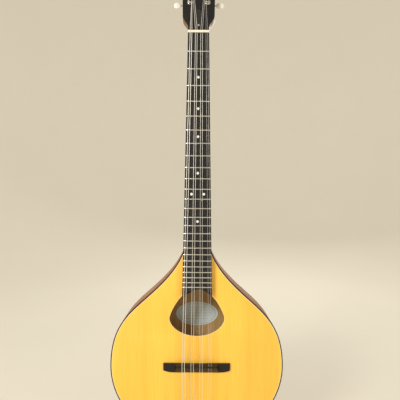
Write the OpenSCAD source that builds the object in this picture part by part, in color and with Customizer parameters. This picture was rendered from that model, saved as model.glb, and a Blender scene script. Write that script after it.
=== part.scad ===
/* [Neck and fingerboard] */
// Speaking length of the strings, from the nut to the crest of the bridge
scale_length = 635; // [632:1:638]
// Number of frets
fret_count = 25; // [22:1:25]
// Width of the fingerboard at the nut
nut_width = 40.5; // [40:0.5:42]
// Width of the fingerboard at its last fret
board_end_width = 56; // [55:0.5:57]
// Thickness of the fingerboard
board_thickness = 6; // [5:0.5:7]
// Height of a fret's crown above the fingerboard
fret_height = 1.1; // [0.9:0.1:1.3]
// Thickness of the neck's wood behind the nut
neck_depth = 15; // [14:0.5:17]

/* [Body] */
// Half the width of the body at its widest
body_half_width = 166; // [160:1:172]
// Height of the body's wooden sides, between the soundboard and the back
side_height = 77; // [72:1:85]
// Thickness of the soundboard and of the back
plate_thickness = 3; // [2.5:0.5:3.5]
// Thickness of the bent sides
side_thickness = 2.5; // [2:0.5:3]
// Width of the binding let into the edges
binding_width = 1.6; // [1.4:0.2:2]

/* [Strings] */
// Distance between the outer courses at the nut
nut_spread = 30; // [29.5:0.5:30.5]
// Distance between the outer courses at the bridge
bridge_spread = 50.5; // [49:0.5:52]
// Distance between the two strings of a course at the nut
nut_pair_gap = 3.3; // [3.1:0.1:3.4]
// Distance between the two strings of a course at the bridge
bridge_pair_gap = 4.6; // [4.2:0.1:5]
// Diameters of the strings, lowest course first
string_gauges = [1.17, 0.86, 0.56, 0.3];

/* [Headstock and tuners] */
// Angle by which the headstock leans back
head_angle = 14; // [13:0.5:15]
// Half the width of the headstock
head_half_width = 33.5; // [33:0.5:34]
// Length of the headstock above the nut
head_length = 162; // [160:1:168]
// Height of the first pair of string posts above the nut
first_post = 64; // [63:0.5:65]
// Half the distance between the two rows of string posts
post_offset = 17; // [16.9:0.1:17.2]
// Distance from one string post to the next along a row
post_pitch = 23; // [22.8:0.1:23.4]

/* [Hidden] */

$fn = 48;
eps = 0.01;

// The frame: +Z runs up the neck, the strings face -Y, and the origin is on the centre line
// where the nut's lower face meets the plane that the fingerboard is glued to.
nut_thickness = 5;
string_rest_y = -board_thickness - fret_height - 0.5;
saddle_rest_y = string_rest_y - 3.2;
saddle_z = -scale_length;
riser_height = 5;
top_y = riser_height;
side_y = top_y + plate_thickness;
back_y = side_y + side_height;
back_face_y = back_y + plate_thickness;

// Body outline, measured up from the saddle line
neck_joint_half = 26.5;
neck_joint_up = 219;
waist_up = -3;
bottom_drop = 148;
body_end_z = saddle_z + waist_up - bottom_drop;
neck_joint_z = saddle_z + neck_joint_up;

// Binding, linings, blocks and braces
binding_height = 5.5;
lining_width = 7;
lining_height = 13;
lining_inset = side_thickness + lining_width;
block_half_width = 36;
neck_block_depth = 46;
tail_block_depth = 26;
brace_gap = 0.5;
brace_width = 8;
brace_height = 12;
label_half_width = 44;
label_half_height = 25;
label_up = 76;
label_thickness = 0.2;

// Soundhole, measured up from the saddle line
hole_top_up = 146;
hole_wide_up = 88;
hole_half_width = 53;
hole_bottom_up = 53.5;

// Fingerboard
board_wide_z = -fret_z_drop(25);
board_tip_z = -503;
board_slope = (board_end_width - nut_width) / 2 / board_wide_z;
fret_width = 2.4;
tang_width = 0.6;
tang_depth = 1.8;
fret_end_gap = 0.3;
dot_radius = 2.5;
dot_depth = 1;
side_dot_radius = 1;
side_dot_depth = 2;
octave_dot_offset = 11.7;
single_dots = [3, 5, 7, 10, 15];

// Truss rod, in a channel under the fingerboard
rod_radius = 2.5;
rod_channel = 6;
rod_end_z = -400;

// Headstock, in its own leaning frame with Z along it and Y out of its back
head_thickness = 15;
veneer_thickness = 2;
flare_start = 6;
flare_end = 32;
flare_half_width = 31;

// Tuners, in the headstock's frame
post_radius = 3;
post_neck_radius = 2.6;
post_top_y = -13;
bore_clearance = 0.05;
bushing_radius = 4;
bushing_flange_radius = 5.8;
bushing_flange = 1;
bushing_depth = 8;
tuner_plate = 1.2;
plate_back_y = head_thickness + tuner_plate;
gear_teeth = 16;
gear_pitch_radius = 6;
gear_root_radius = 5;
gear_tip_radius = 6.3;
gear_thickness = 3;
gear_y = plate_back_y + 3.1;
key_rise = 8.4;
worm_pitch = 2 * PI * gear_pitch_radius / gear_teeth;
worm_radius = 2.2;
worm_throw = 0.6;
worm_turns = 3;
worm_lead = atan(worm_pitch / (2 * PI * worm_radius));
shaft_radius = 1.5;
lug_thickness = 1.5;
lug_half_width = 2.6;
lug_inner = 5.8;
lug_outer = 4.5;
button_inner = 35;
button_length = 15;
button_half_height = 6.5;
button_half_depth = 3.4;
plate_screw_up = 13.8;
screw_head_radius = 2.2;
screw_radius = 1.1;
screw_length = 8;

// Tailpiece
tail_half_width = 31;
tail_plate = 1.5;
tail_hook_z = body_end_z + 42;
tail_lift = 1.5;
tail_front_y = top_y - tail_lift - tail_plate;
hook_radius = 1.1;
hook_height = 3.2;
hook_spacing = 7.6;

// Colours
spruce = "#e0ad45";
mahogany = "#8a5230";
maple = "#d8b98a";
ebony = "#1d1917";
bone = "#e8e0c8";
nickel = "#c9c8c4";
brass = "#b8954a";
ivoroid = "#ece6d2";

// ---------- Curves and outlines ----------

function fret_z_drop(n) = scale_length * (1 - pow(2, -n / 12));

function bezier(a, b, c, d, t) =
    pow(1 - t, 3) * a + 3 * t * pow(1 - t, 2) * b + 3 * t * t * (1 - t) * c + pow(t, 3) * d;

function curve(a, b, c, d, steps) = [for (i = [0 : steps - 1]) bezier(a, b, c, d, i / steps)];

function mirrored(points) = [for (i = [len(points) - 1 : -1 : 0]) [-points[i][0], points[i][1]]];

// Right half of the body, from the neck joint round to the bottom
body_half = [for (p = concat(
    curve([neck_joint_half, neck_joint_up], [39.7, 181.4], [70, 152.4], [100, 126], 14),
    curve([100, 126], [137.5, 93], [body_half_width, 67], [body_half_width, waist_up], 14),
    [for (a = [0 : 4.5 : 85.5])
        [body_half_width * cos(a), waist_up - bottom_drop * sin(a)]]))
    [p[0], saddle_z + p[1]]];

function direction(v) = v / norm(v);

function along(points, i) =
    direction(points[min(i + 1, len(points) - 1)] - points[max(i - 1, 0)]);

// The right half of the body's outline, moved inwards by a distance
function inset_half(distance) = [for (i = [0 : len(body_half) - 1])
    let (t = along(body_half, i)) body_half[i] + distance * [t[1], -t[0]]];

module body_outline(distance = 0) {
    half = inset_half(distance);
    tail = [[0, body_end_z + distance]];
    intersection() {
        polygon(concat(half, tail, mirrored(half)));
        translate([-200, body_end_z - 10])
            square([400, neck_joint_z - distance - body_end_z + 10]);
    }
}

hole_half = [for (p = concat(
    curve([0, hole_top_up], [30.7, hole_top_up], [hole_half_width, hole_wide_up + 8],
          [hole_half_width, hole_wide_up], 14),
    curve([hole_half_width, hole_wide_up], [hole_half_width, hole_wide_up - 17],
          [30, hole_bottom_up], [0, hole_bottom_up], 14)))
    [p[0], saddle_z + p[1]]];

module soundhole_outline() {
    polygon(concat(hole_half, [[0, saddle_z + hole_bottom_up]],
                   [for (i = [len(hole_half) - 1 : -1 : 1]) [-hole_half[i][0], hole_half[i][1]]]));
}

function board_half(z) = nut_width / 2 + board_slope * z;

module board_outline(top_z) {
    difference() {
        polygon([[-board_half(top_z), top_z], [board_half(top_z), top_z],
                 [board_half(board_tip_z), board_tip_z], [-board_half(board_tip_z), board_tip_z]]);
        soundhole_outline();
    }
}

// ---------- Placing ----------

// A flat outline in X and Z, given a thickness along Y from a starting plane
module slab(y, thickness) {
    translate([0, y + thickness, 0])
        rotate([90, 0, 0])
        linear_extrude(thickness)
        children();
}

// The headstock's frame
module on_head() {
    translate([0, 0, nut_thickness])
        rotate([-head_angle, 0, 0])
        children();
}

// A cylinder along +Y
module bar_y(y, length, r, r2 = -1) {
    translate([0, y, 0])
        rotate([-90, 0, 0])
        cylinder(h = length, r1 = r, r2 = r2 < 0 ? r : r2);
}

// A cylinder along +X
module bar_x(x, length, r) {
    translate([x, 0, 0])
        rotate([0, 90, 0])
        cylinder(h = length, r = r);
}

// A screw with a slotted head, its head's underside at the origin and its shank along -Y
module screw(head_radius, head_height, shank_radius, length) {
    difference() {
        bar_y(0, head_height, head_radius, head_radius * 0.7);
        translate([-head_radius, head_height - 0.4, -0.3])
            cube([2 * head_radius, 1, 0.6]);
    }
    bar_y(-length, length + eps, shank_radius);
}

// ---------- Body ----------

module ring(outer, inner) {
    difference() {
        body_outline(outer);
        body_outline(inner);
    }
}

module block_outline(top_z, depth) {
    translate([-block_half_width, top_z - depth])
        square([2 * block_half_width, depth]);
}

module neck_block_outline() {
    block_outline(neck_joint_z - side_thickness, neck_block_depth);
}

module tail_block_outline() {
    block_outline(body_end_z + side_thickness + tail_block_depth, tail_block_depth + 2);
}

// The tongue of the neck that is glued into the neck block
tenon_half_width = 10;
tenon_length = 14;
tenon_start_y = top_y + binding_height + 0.3;
tenon_end_y = 60;

module tenon() {
    translate([-tenon_half_width, tenon_start_y, neck_joint_z - tenon_length])
        cube([2 * tenon_half_width, tenon_end_y - tenon_start_y, tenon_length + 1]);
}

// Screw places on the tail, in X and Y
tail_screws = [[-10, 16], [10, 16], [0, 27]];
strap_y = 50;
strap_screw_radius = 2;
strap_screw_length = 22;

module tail_holes() {
    for (p = tail_screws)
        translate([p[0], p[1], body_end_z - 1])
            cylinder(h = 14, r = screw_radius);
    translate([0, strap_y, body_end_z - 1])
        cylinder(h = strap_screw_length + 1, r = strap_screw_radius + bore_clearance);
}

module soundboard() {
    color(spruce)
        slab(top_y, plate_thickness)
        difference() {
            body_outline(binding_width);
            soundhole_outline();
        }
}

module back_plate() {
    color(mahogany)
        slab(back_y, plate_thickness)
        body_outline(binding_width);
}

module sides() {
    color(mahogany)
        difference() {
            union() {
                slab(top_y + binding_height, back_face_y - top_y - 2 * binding_height)
                    ring(0, side_thickness);
                slab(side_y, side_height)
                    ring(binding_width, side_thickness);
            }
            tenon();
            tail_holes();
        }
}

module bindings() {
    color(ebony)
        for (y = [top_y, back_face_y - binding_height])
            slab(y, binding_height)
                ring(0, binding_width);
}

module linings() {
    color(maple)
        for (y = [side_y, back_y - lining_height])
            slab(y, lining_height)
                difference() {
                    ring(side_thickness, lining_inset);
                    neck_block_outline();
                    tail_block_outline();
                }
}

module neck_block() {
    color(mahogany)
        difference() {
            slab(side_y, side_height)
                intersection() {
                    body_outline(side_thickness);
                    neck_block_outline();
                }
            tenon();
        }
}

module tail_block() {
    color(mahogany)
        difference() {
            slab(side_y, side_height)
                intersection() {
                    body_outline(side_thickness);
                    tail_block_outline();
                }
            tail_holes();
        }
}

// A bar right across the inside of the body, with its lower edge at a height z
module cross_brace(y, z, height) {
    slab(y, height)
        intersection() {
            body_outline(lining_inset + brace_gap);
            translate([-200, z])
                square([400, brace_width]);
        }
}

top_brace_z = [-482, -604, -704];
hole_brace_x = 62;
hole_brace_height = 8;
hole_brace_top = -498;
back_brace_z = [-504, -624, -714];
strip_half_width = 7;
strip_thickness = 2;
strip_spans = [
    [back_brace_z[0] + brace_width, neck_joint_z - side_thickness - neck_block_depth],
    [saddle_z + label_up + label_half_height, back_brace_z[0]],
    [back_brace_z[1] + brace_width, saddle_z + label_up - label_half_height],
    [back_brace_z[2] + brace_width, back_brace_z[1]],
    [body_end_z + side_thickness + tail_block_depth, back_brace_z[2]]];

module top_braces() {
    color(spruce) {
        for (z = top_brace_z)
            cross_brace(side_y, z, brace_height);
        for (side = [-1, 1])
            translate([side * (hole_brace_x + brace_width / 2) - brace_width / 2, side_y,
                       top_brace_z[1] + brace_width + brace_gap])
                cube([brace_width, hole_brace_height,
                      hole_brace_top - top_brace_z[1] - brace_width - brace_gap]);
    }
}

module back_braces() {
    color(spruce) {
        for (z = back_brace_z)
            cross_brace(back_y - brace_height, z, brace_height);
        for (span = strip_spans)
            translate([-strip_half_width, back_y - strip_thickness, span[0] + brace_gap])
                cube([2 * strip_half_width, strip_thickness, span[1] - span[0] - 2 * brace_gap]);
    }
}

module soundhole_label() {
    color(ivoroid)
        slab(back_y - label_thickness, label_thickness)
        polygon([for (a = [0 : 6 : 354])
            [label_half_width * cos(a), saddle_z + label_up + label_half_height * sin(a)]]);
}

// ---------- Neck ----------

heel_start = -340;
heel_depth = 74;
shaft_gain = 2.5;

function shaft_depth(z) = neck_depth + shaft_gain * min(1, max(0, -z) / -heel_start);

function heel_rise(z) = pow(max(0, heel_start - z) / (heel_start - neck_joint_z), 2.6);

function neck_depth_at(z) = shaft_depth(z) + (heel_depth - shaft_depth(z)) * heel_rise(z);

// One section across the neck: flat in front, round behind, and narrower down the heel
function neck_ring(z) = [for (a = [0 : 12 : 180])
    let (y = neck_depth_at(z) * pow(abs(sin(a)), 0.8))
    [board_half(z) * cos(a) * (1 - 0.3 * y / heel_depth), y, z]];

// A closed skin through rings that have the same number of points
module loft(rings) {
    n = len(rings[0]);
    last = (len(rings) - 1) * n;
    walls = [for (r = [0 : len(rings) - 2]) for (i = [0 : n - 1])
        let (a = r * n + i, b = r * n + (i + 1) % n)
        each [[a, a + n, b], [b, a + n, b + n]]];
    polyhedron(points = [for (r = rings) each r],
               faces = concat([[for (i = [0 : n - 1]) i]], walls,
                              [[for (i = [n - 1 : -1 : 0]) last + i]]));
}

// The throat runs from the round neck into the square headstock
throat_start = -12;
throat_end = 12;
slab_start = 9;

function throat_ring(z, power) = [for (a = [0 : 12 : 180])
    from_head([nut_width / 2 * sign(cos(a)) * pow(abs(cos(a)), power),
               head_thickness * pow(abs(sin(a)), power), z])];

head_half = concat(
    [[nut_width / 2, 0]],
    curve([nut_width / 2, flare_start], [nut_width / 2, flare_start + 12],
          [flare_half_width - 1, flare_end - 10], [flare_half_width, flare_end], 12),
    [[flare_half_width, flare_end]],
    curve([head_half_width, head_length - 16], [head_half_width, head_length - 5],
          [14, head_length], [0, head_length], 10));

module head_outline(from_z) {
    intersection() {
        polygon(concat(head_half, [[0, head_length]], mirrored(head_half)));
        translate([-50, from_z])
            square([100, head_length]);
    }
}

// The pocket in the headstock in which the truss rod's nut is turned
pocket_half_width = 4.5;
pocket_depth = 10;
pocket_low_z = 17;
pocket_high_z = 37;

module rod_pocket(front_y) {
    on_head()
        translate([-pocket_half_width, front_y, pocket_low_z])
        cube([2 * pocket_half_width, pocket_depth - front_y, pocket_high_z - pocket_low_z]);
}

module neck_blank() {
    loft([for (i = [12 : -1 : 1]) neck_ring(heel_start - i / 12 * (heel_start - neck_joint_z)),
          for (i = [8 : -1 : 0]) neck_ring(throat_start - i / 8 * (throat_start - heel_start)),
          neck_ring(nut_thickness - 2), throat_ring(throat_end / 3, 0.5),
          throat_ring(throat_end, 0.2)]);
    on_head()
        slab(0, head_thickness)
        head_outline(slab_start);
    tenon();
}

module neck() {
    color(mahogany)
        difference() {
            neck_blank();
            translate([-rod_channel / 2, -1, rod_end_z])
                cube([rod_channel, rod_axis_y + rod_channel / 2 + part_gap + 1, -rod_end_z]);
            translate([0, rod_axis_y, -1])
                cylinder(h = rod_nut_z, r = rod_radius + part_gap);
            rod_pocket(-1);
            post_holes();
            plate_screw_holes();
            cover_holes();
        }
}

module fingerboard_riser() {
    color(mahogany)
        slab(0, riser_height)
        board_outline(neck_joint_z);
}

function dot_z(n) = -(fret_z_drop(n - 1) + fret_z_drop(n)) / 2;

// Dots in the face and on the bass edge of the fingerboard, each sunk by its own depth
module dots(lift) {
    for (n = single_dots) {
        translate([0, 0, dot_z(n)])
            bar_y(-board_thickness - lift, dot_depth + lift, dot_radius);
        translate([-board_half(dot_z(n)) - lift, -board_thickness / 2, dot_z(n)])
            bar_x(0, side_dot_depth + lift, side_dot_radius);
    }
    for (side = [-1, 1]) {
        translate([side * octave_dot_offset, 0, dot_z(12)])
            bar_y(-board_thickness - lift, dot_depth + lift, dot_radius);
        translate([-board_half(dot_z(12)) - lift, -board_thickness / 2, dot_z(12) + side * 3])
            bar_x(0, side_dot_depth + lift, side_dot_radius);
    }
}

module inlay_dots() {
    color(ivoroid)
        dots(0);
}

module fingerboard() {
    color(ebony)
        difference() {
            slab(-board_thickness, board_thickness)
                board_outline(0);
            for (n = [1 : fret_count])
                translate([-40, -board_thickness - 1, -fret_z_drop(n) - tang_width / 2])
                    cube([80, tang_depth + 1, tang_width]);
            dots(1);
        }
}

module fret_profile() {
    crown_radius = (pow(fret_width / 2, 2) + pow(fret_height, 2)) / (2 * fret_height);
    intersection() {
        translate([crown_radius - fret_height, 0])
            circle(crown_radius);
        translate([-fret_height, -fret_width / 2])
            square([fret_height, fret_width]);
    }
    translate([-eps, -tang_width / 2])
        square([tang_depth + eps, tang_width]);
}

module frets() {
    color(nickel)
        for (n = [1 : fret_count]) {
            half = board_half(-fret_z_drop(n)) - fret_end_gap;
            translate([-half, -board_thickness, -fret_z_drop(n)])
                rotate([90, 0, 90])
                linear_extrude(2 * half)
                fret_profile();
        }
}

module nut() {
    color(bone)
        difference() {
            translate([-nut_width / 2, 0, 0])
                rotate([90, 0, 90])
                linear_extrude(nut_width)
                polygon([[0, 0], [0, nut_thickness], [string_rest_y + 0.6, nut_thickness],
                         [string_rest_y - 0.4, nut_thickness - 1.6],
                         [string_rest_y - 0.7, 1], [string_rest_y - 0.7, 0]]);
            for (i = [1 : 8])
                string_slot(i, nut_x(i), [[string_rest_y, -1], [string_rest_y, nut_thickness + 1]]);
        }
}

module headstock_veneer() {
    color(ebony)
        difference() {
            on_head()
                slab(-veneer_thickness, veneer_thickness)
                head_outline(0);
            rod_pocket(-veneer_thickness - 1);
            post_holes();
            cover_holes();
        }
}

rod_axis_y = 9;
rod_anchor = 9;
rod_tip_z = 30;

module truss_rod() {
    color(nickel) {
        translate([0, rod_axis_y, rod_end_z + rod_anchor / 2])
            cylinder(h = rod_tip_z - rod_end_z - rod_anchor / 2, r = rod_radius);
        translate([-rod_channel / 2, rod_axis_y - rod_channel / 2, rod_end_z])
            cube([rod_channel, rod_channel, rod_anchor]);
    }
}

rod_nut_z = 23;
rod_nut_height = 7;
rod_nut_corner = 3.5;

module truss_rod_nut() {
    color(brass)
        translate([0, rod_axis_y, rod_nut_z])
        difference() {
            cylinder(h = rod_nut_height, r = rod_nut_corner, $fn = 6);
            translate([0, 0, -1])
                cylinder(h = rod_nut_height + 2, r = rod_radius + bore_clearance);
        }
}

// Bell-shaped cover over the truss rod's pocket, held by a screw at its foot and a pin at its tip
cover_thickness = 1.6;
cover_half_width = 8.5;
cover_tip_half = 5;
cover_start = 5;
cover_end = 46;
cover_screw_z = 11;
cover_pin_z = 41.5;
cover_pin_length = 4;
cover_screw_length = 6;

module truss_rod_cover() {
    half = concat([[cover_half_width, cover_start]],
        curve([cover_half_width, cover_start + 14], [cover_half_width, cover_start + 26],
              [cover_tip_half, cover_end - 12], [cover_tip_half, cover_end - 3], 10),
        curve([cover_tip_half, cover_end - 3], [cover_tip_half, cover_end - 1],
              [3, cover_end], [0, cover_end], 5));
    color(ebony)
        on_head() {
            difference() {
                slab(-veneer_thickness - cover_thickness, cover_thickness)
                    polygon(concat(half, [[0, cover_end]], mirrored(half)));
                cover_hole(cover_screw_z);
            }
            translate([0, 0, cover_pin_z])
                bar_y(-veneer_thickness - eps, cover_pin_length, screw_radius - bore_clearance);
        }
}

module cover_hole(z) {
    translate([0, 0, z])
        bar_y(-veneer_thickness - cover_thickness - 1, cover_screw_length + 1, screw_radius);
}

module cover_holes() {
    on_head() {
        cover_hole(cover_screw_z);
        cover_hole(cover_pin_z);
    }
}

module cover_screw() {
    color(nickel)
        on_head()
        translate([0, -veneer_thickness - cover_thickness, cover_screw_z])
        mirror([0, 1, 0])
        screw(screw_head_radius, 1.2, screw_radius, cover_screw_length);
}

// ---------- Bridge ----------

bridge_half_length = 64;
bridge_front_foot = 2.5;
bridge_back_foot = 15;
bridge_back_foot_end = 10.7;
bridge_crest_half = 1.6;
bridge_end_height = 4.5;
bridge_back_height = 3;
bridge_plateau = 37;
bridge_wing_start = 43;
bridge_crest_y = saddle_rest_y - 0.35;
bridge_arch_half = 20;
bridge_arch_height = 1.5;
break_angle = 7;

// The bridge seen from in front: low wings and a raised middle that carries the strings
module bridge_front() {
    end_y = top_y - bridge_end_height;
    half = concat([[bridge_half_length, top_y], [bridge_half_length, end_y]],
        curve([bridge_wing_start, end_y], [bridge_wing_start - 3, end_y],
              [bridge_plateau + 2.5, bridge_crest_y], [bridge_plateau, bridge_crest_y], 10),
        [[bridge_plateau, bridge_crest_y]]);
    difference() {
        polygon(concat(half, mirrored(half)));
        translate([-bridge_arch_half, top_y - bridge_arch_height])
            square([2 * bridge_arch_half, bridge_arch_height + 1]);
    }
}

// The bridge seen from above: straight towards the neck, and curved towards the tail
module bridge_plan() {
    half = concat([[bridge_half_length, bridge_front_foot],
                   [bridge_half_length, -bridge_back_foot_end]],
        curve([bridge_half_length, -bridge_back_foot_end], [56, -13], [50, -bridge_back_foot],
              [bridge_plateau + 4, -bridge_back_foot], 8),
        [[bridge_plateau + 4, -bridge_back_foot]]);
    polygon(concat(half, mirrored(half)));
}

module bridge() {
    color(ebony)
        difference() {
            intersection() {
                translate([0, 0, saddle_z - bridge_back_foot - 1])
                    linear_extrude(bridge_front_foot + bridge_back_foot + 2)
                    bridge_front();
                translate([0, 0, saddle_z])
                    slab(bridge_crest_y - 1, top_y - bridge_crest_y + 2)
                    bridge_plan();
                translate([-bridge_half_length - 1, 0, saddle_z])
                    rotate([90, 0, 90])
                    linear_extrude(2 * bridge_half_length + 2)
                    polygon([[top_y, -bridge_back_foot - 1], [top_y, bridge_front_foot + 1],
                             [0, bridge_front_foot + 1], [0, bridge_front_foot],
                             [bridge_crest_y, bridge_crest_half],
                             [bridge_crest_y, -bridge_crest_half],
                             [top_y - bridge_back_height, -bridge_back_foot],
                             [top_y - bridge_back_height, -bridge_back_foot - 1]]);
            }
            for (i = [1 : 8])
                string_slot(i, saddle_x(i), [
                    [saddle_rest_y + slot_reach * tan(break_angle), saddle_z - slot_reach],
                    [saddle_rest_y, saddle_z], [saddle_rest_y, saddle_z + slot_reach]]);
        }
}

// ---------- Strings ----------

// Strings count from the lowest, so odd ones are the left string of their pair
function course(i) = floor((i - 1) / 2);

function pair_side(i) = i % 2 == 1 ? -1 : 1;

function string_radius(i) = string_gauges[course(i)] / 2;

nut_shift = 0.7;
slot_clearance = 0.05;
slot_side = 0.2;
slot_reach = 5;

function nut_x(i) = nut_shift + (course(i) - 1.5) * nut_spread / 3 + pair_side(i) * nut_pair_gap / 2;

function saddle_x(i) = (course(i) - 1.5) * bridge_spread / 3 + pair_side(i) * bridge_pair_gap / 2;

// The four low strings go to the left posts, and the four high ones to the right
function head_side(i) = i <= 4 ? -1 : 1;

function post_row(i) = i <= 4 ? i - 1 : 8 - i;

function post_z(i) = first_post + post_pitch * post_row(i);

// Neighbouring rows wind at two heights, so that a string clears the coil that it passes
function coil_y(i) = post_row(i) % 2 == 0 ? -7.2 : -10;

coil_clearance = 0.15;

function coil_radius(i) = post_neck_radius + coil_clearance + string_radius(i);

function coil_turns(i) = course(i) == 0 ? 2.25 : 3.25;

coil_gap = 0.06;

// A point of the headstock's frame, in the object's frame
function from_head(p) = [p[0], p[1] * cos(head_angle) + p[2] * sin(head_angle),
    nut_thickness - p[1] * sin(head_angle) + p[2] * cos(head_angle)];

function hook_x(i) = (i - 4.5) * hook_spacing;

function hook_loop_radius(i) = hook_radius + 2 * slot_clearance + string_radius(i);

hook_string_y = tail_front_y - 1;

// The straight spans: from the tailpiece over the bridge and the nut to the string post
function corners(i) = [
    [hook_x(i) + hook_loop_radius(i), hook_string_y, tail_hook_z],
    [saddle_x(i), saddle_rest_y - string_radius(i), saddle_z],
    [nut_x(i), string_rest_y - string_radius(i), 0.8],
    [nut_x(i), string_rest_y - string_radius(i), nut_thickness - 0.6],
    coil_point(i, 0)];

// A point of the winding, by the angle turned since the string first meets the post
function coil_point(i, angle) = from_head([
    head_side(i) * (post_offset - coil_radius(i) * cos(angle)),
    coil_y(i) + (2 * string_radius(i) + coil_gap) * angle / 360,
    post_z(i) + coil_radius(i) * sin(angle)]);

// A point of the loop round the tailpiece hook, which ends where the string leaves the hook
function loop_point(i, angle) = [
    hook_x(i) + hook_loop_radius(i) * cos(angle), hook_string_y,
    tail_hook_z + hook_loop_radius(i) * sin(angle)];

loop_step = 20;
coil_step = 22.5;

function string_path(i) = concat(
    [for (a = [-240 : loop_step : -loop_step]) loop_point(i, a)],
    corners(i),
    [for (a = [coil_step : coil_step : 360 * coil_turns(i)]) coil_point(i, a)]);

string_sides = 8;

// A round tube along a path that never runs parallel to Y
module tube(points, r) {
    loft([for (k = [0 : len(points) - 1])
        let (t = along(points, k), u = direction(cross([0, 1, 0], t)), v = cross(t, u))
        [for (j = [0 : string_sides - 1])
            points[k] + r * (cos(360 * j / string_sides) * u + sin(360 * j / string_sides) * v)]]);
}

// A slot for a string, open at the front; its floor follows points in Y and Z
module string_slot(i, x, floor_points) {
    half = string_radius(i) + slot_side;
    front = floor_points[0][0] - 8;
    translate([x - half, 0, 0])
        rotate([90, 0, 90])
        linear_extrude(2 * half)
        polygon(concat([for (p = floor_points) p + [slot_clearance, 0]],
            [[front, floor_points[len(floor_points) - 1][1]], [front, floor_points[0][1]]]));
}

module string(i) {
    color(course(i) < 2 ? brass : nickel)
        tube(string_path(i), string_radius(i));
}

// ---------- Tailpiece ----------

module tailpiece() {
    tip = 12;
    color(nickel)
        difference() {
            union() {
                slab(tail_front_y, tail_plate)
                    polygon([[-tip, body_end_z - tail_plate], [tip, body_end_z - tail_plate],
                             [tail_half_width, body_end_z + 14], [tail_half_width, tail_hook_z + 5],
                             [tail_half_width - 4, tail_hook_z + 9],
                             [4 - tail_half_width, tail_hook_z + 9],
                             [-tail_half_width, tail_hook_z + 5],
                             [-tail_half_width, body_end_z + 14]]);
                translate([0, 0, body_end_z - tail_plate])
                    linear_extrude(tail_plate)
                    polygon([[-14, tail_front_y], [14, tail_front_y], [15, 20], [9, 32], [5, 36],
                             [-5, 36], [-9, 32], [-15, 20]]);
                for (i = [1 : 8])
                    translate([hook_x(i), 0, tail_hook_z])
                        bar_y(tail_front_y - hook_height, hook_height + eps, hook_radius);
            }
            tail_holes_wide();
        }
}

module tail_holes_wide() {
    for (p = tail_screws)
        translate([p[0], p[1], body_end_z - tail_plate - 1])
            cylinder(h = tail_plate + 2, r = screw_radius);
}

module tailpiece_screws() {
    color(nickel)
        for (p = tail_screws)
            translate([p[0], p[1], body_end_z - tail_plate])
                rotate([-90, 0, 0])
                screw(screw_head_radius, 1.2, screw_radius, screw_length);
}

strap_screw_head = 13;

module strap_button() {
    bore = strap_screw_radius + part_gap;
    color(ebony)
        translate([0, strap_y, body_end_z])
        rotate([180, 0, 0])
        rotate_extrude()
        polygon([[bore, 0], [6, 0], [6, 1], [4, 2.6], [3.4, 5], [3.8, 8], [6.2, 9.8], [6.8, 11.2],
                 [6.2, 12.6], [4.2, 13.4], [bore, 13.6]]);
    color(nickel)
        translate([0, strap_y, body_end_z - strap_screw_head])
        cylinder(h = strap_screw_length + strap_screw_head, r = strap_screw_radius);
}

// ---------- Tuners ----------

module on_side(side) {
    if (side < 0)
        mirror([1, 0, 0])
            children();
    else
        children();
}

// The place of one tuner: the axis of its string post, with +X pointing out of the headstock
module at_tuner(i) {
    on_head()
        on_side(head_side(i))
        translate([post_offset, 0, post_z(i)])
        children();
}

module post_holes() {
    for (i = [1 : 8])
        at_tuner(i) {
            bar_y(-veneer_thickness - 1, bushing_depth + 1, bushing_radius);
            bar_y(0, head_thickness + 1, post_radius + 0.4);
        }
}

function plate_screw_z(k) = first_post + plate_screw_up + post_pitch * k;

module at_plate_screws() {
    on_head()
        for (side = [-1, 1])
            for (k = [-1 : 3])
                translate([side * post_offset, plate_back_y, plate_screw_z(k)])
                    children();
}

module plate_screw_holes() {
    at_plate_screws()
        bar_y(-screw_length, screw_length + 1, screw_radius);
}

module plate_screws() {
    color(nickel)
        at_plate_screws()
        screw(screw_head_radius, 1.2, screw_radius, screw_length);
}

module post_bushings() {
    color(nickel)
        for (i = [1 : 8])
            at_tuner(i)
                difference() {
                    union() {
                        bar_y(-veneer_thickness - bushing_flange, bushing_flange,
                              bushing_flange_radius);
                        bar_y(-veneer_thickness, bushing_depth, bushing_radius);
                    }
                    bar_y(-veneer_thickness - bushing_flange - 1, bushing_depth + 3,
                          post_radius + bore_clearance);
                }
}

gear_front_y = gear_y - gear_thickness / 2;
gear_back_y = gear_y + gear_thickness / 2;
spigot_radius = 2;
gear_screw_head = 2.9;
gear_screw_length = 7;
part_gap = 0.02;
string_hole = 1.4;

module gear_tooth() {
    translate([0, gear_y, -(gear_root_radius + gear_tip_radius) / 2])
        rotate([0, 0, worm_lead])
        rotate([90, 0, 0])
        translate([0, 0, -gear_thickness / 2])
        linear_extrude(gear_thickness)
        polygon([[-0.6, 0.75], [0.6, 0.75], [0.24, -0.65], [-0.24, -0.65]]);
}

module gear() {
    difference() {
        union() {
            bar_y(gear_front_y, gear_thickness, gear_root_radius);
            for (t = [0 : gear_teeth - 1])
                rotate([0, t * 360 / gear_teeth, 0])
                    gear_tooth();
        }
        bar_y(gear_front_y - 1, gear_thickness + 2, spigot_radius + part_gap);
    }
}

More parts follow.
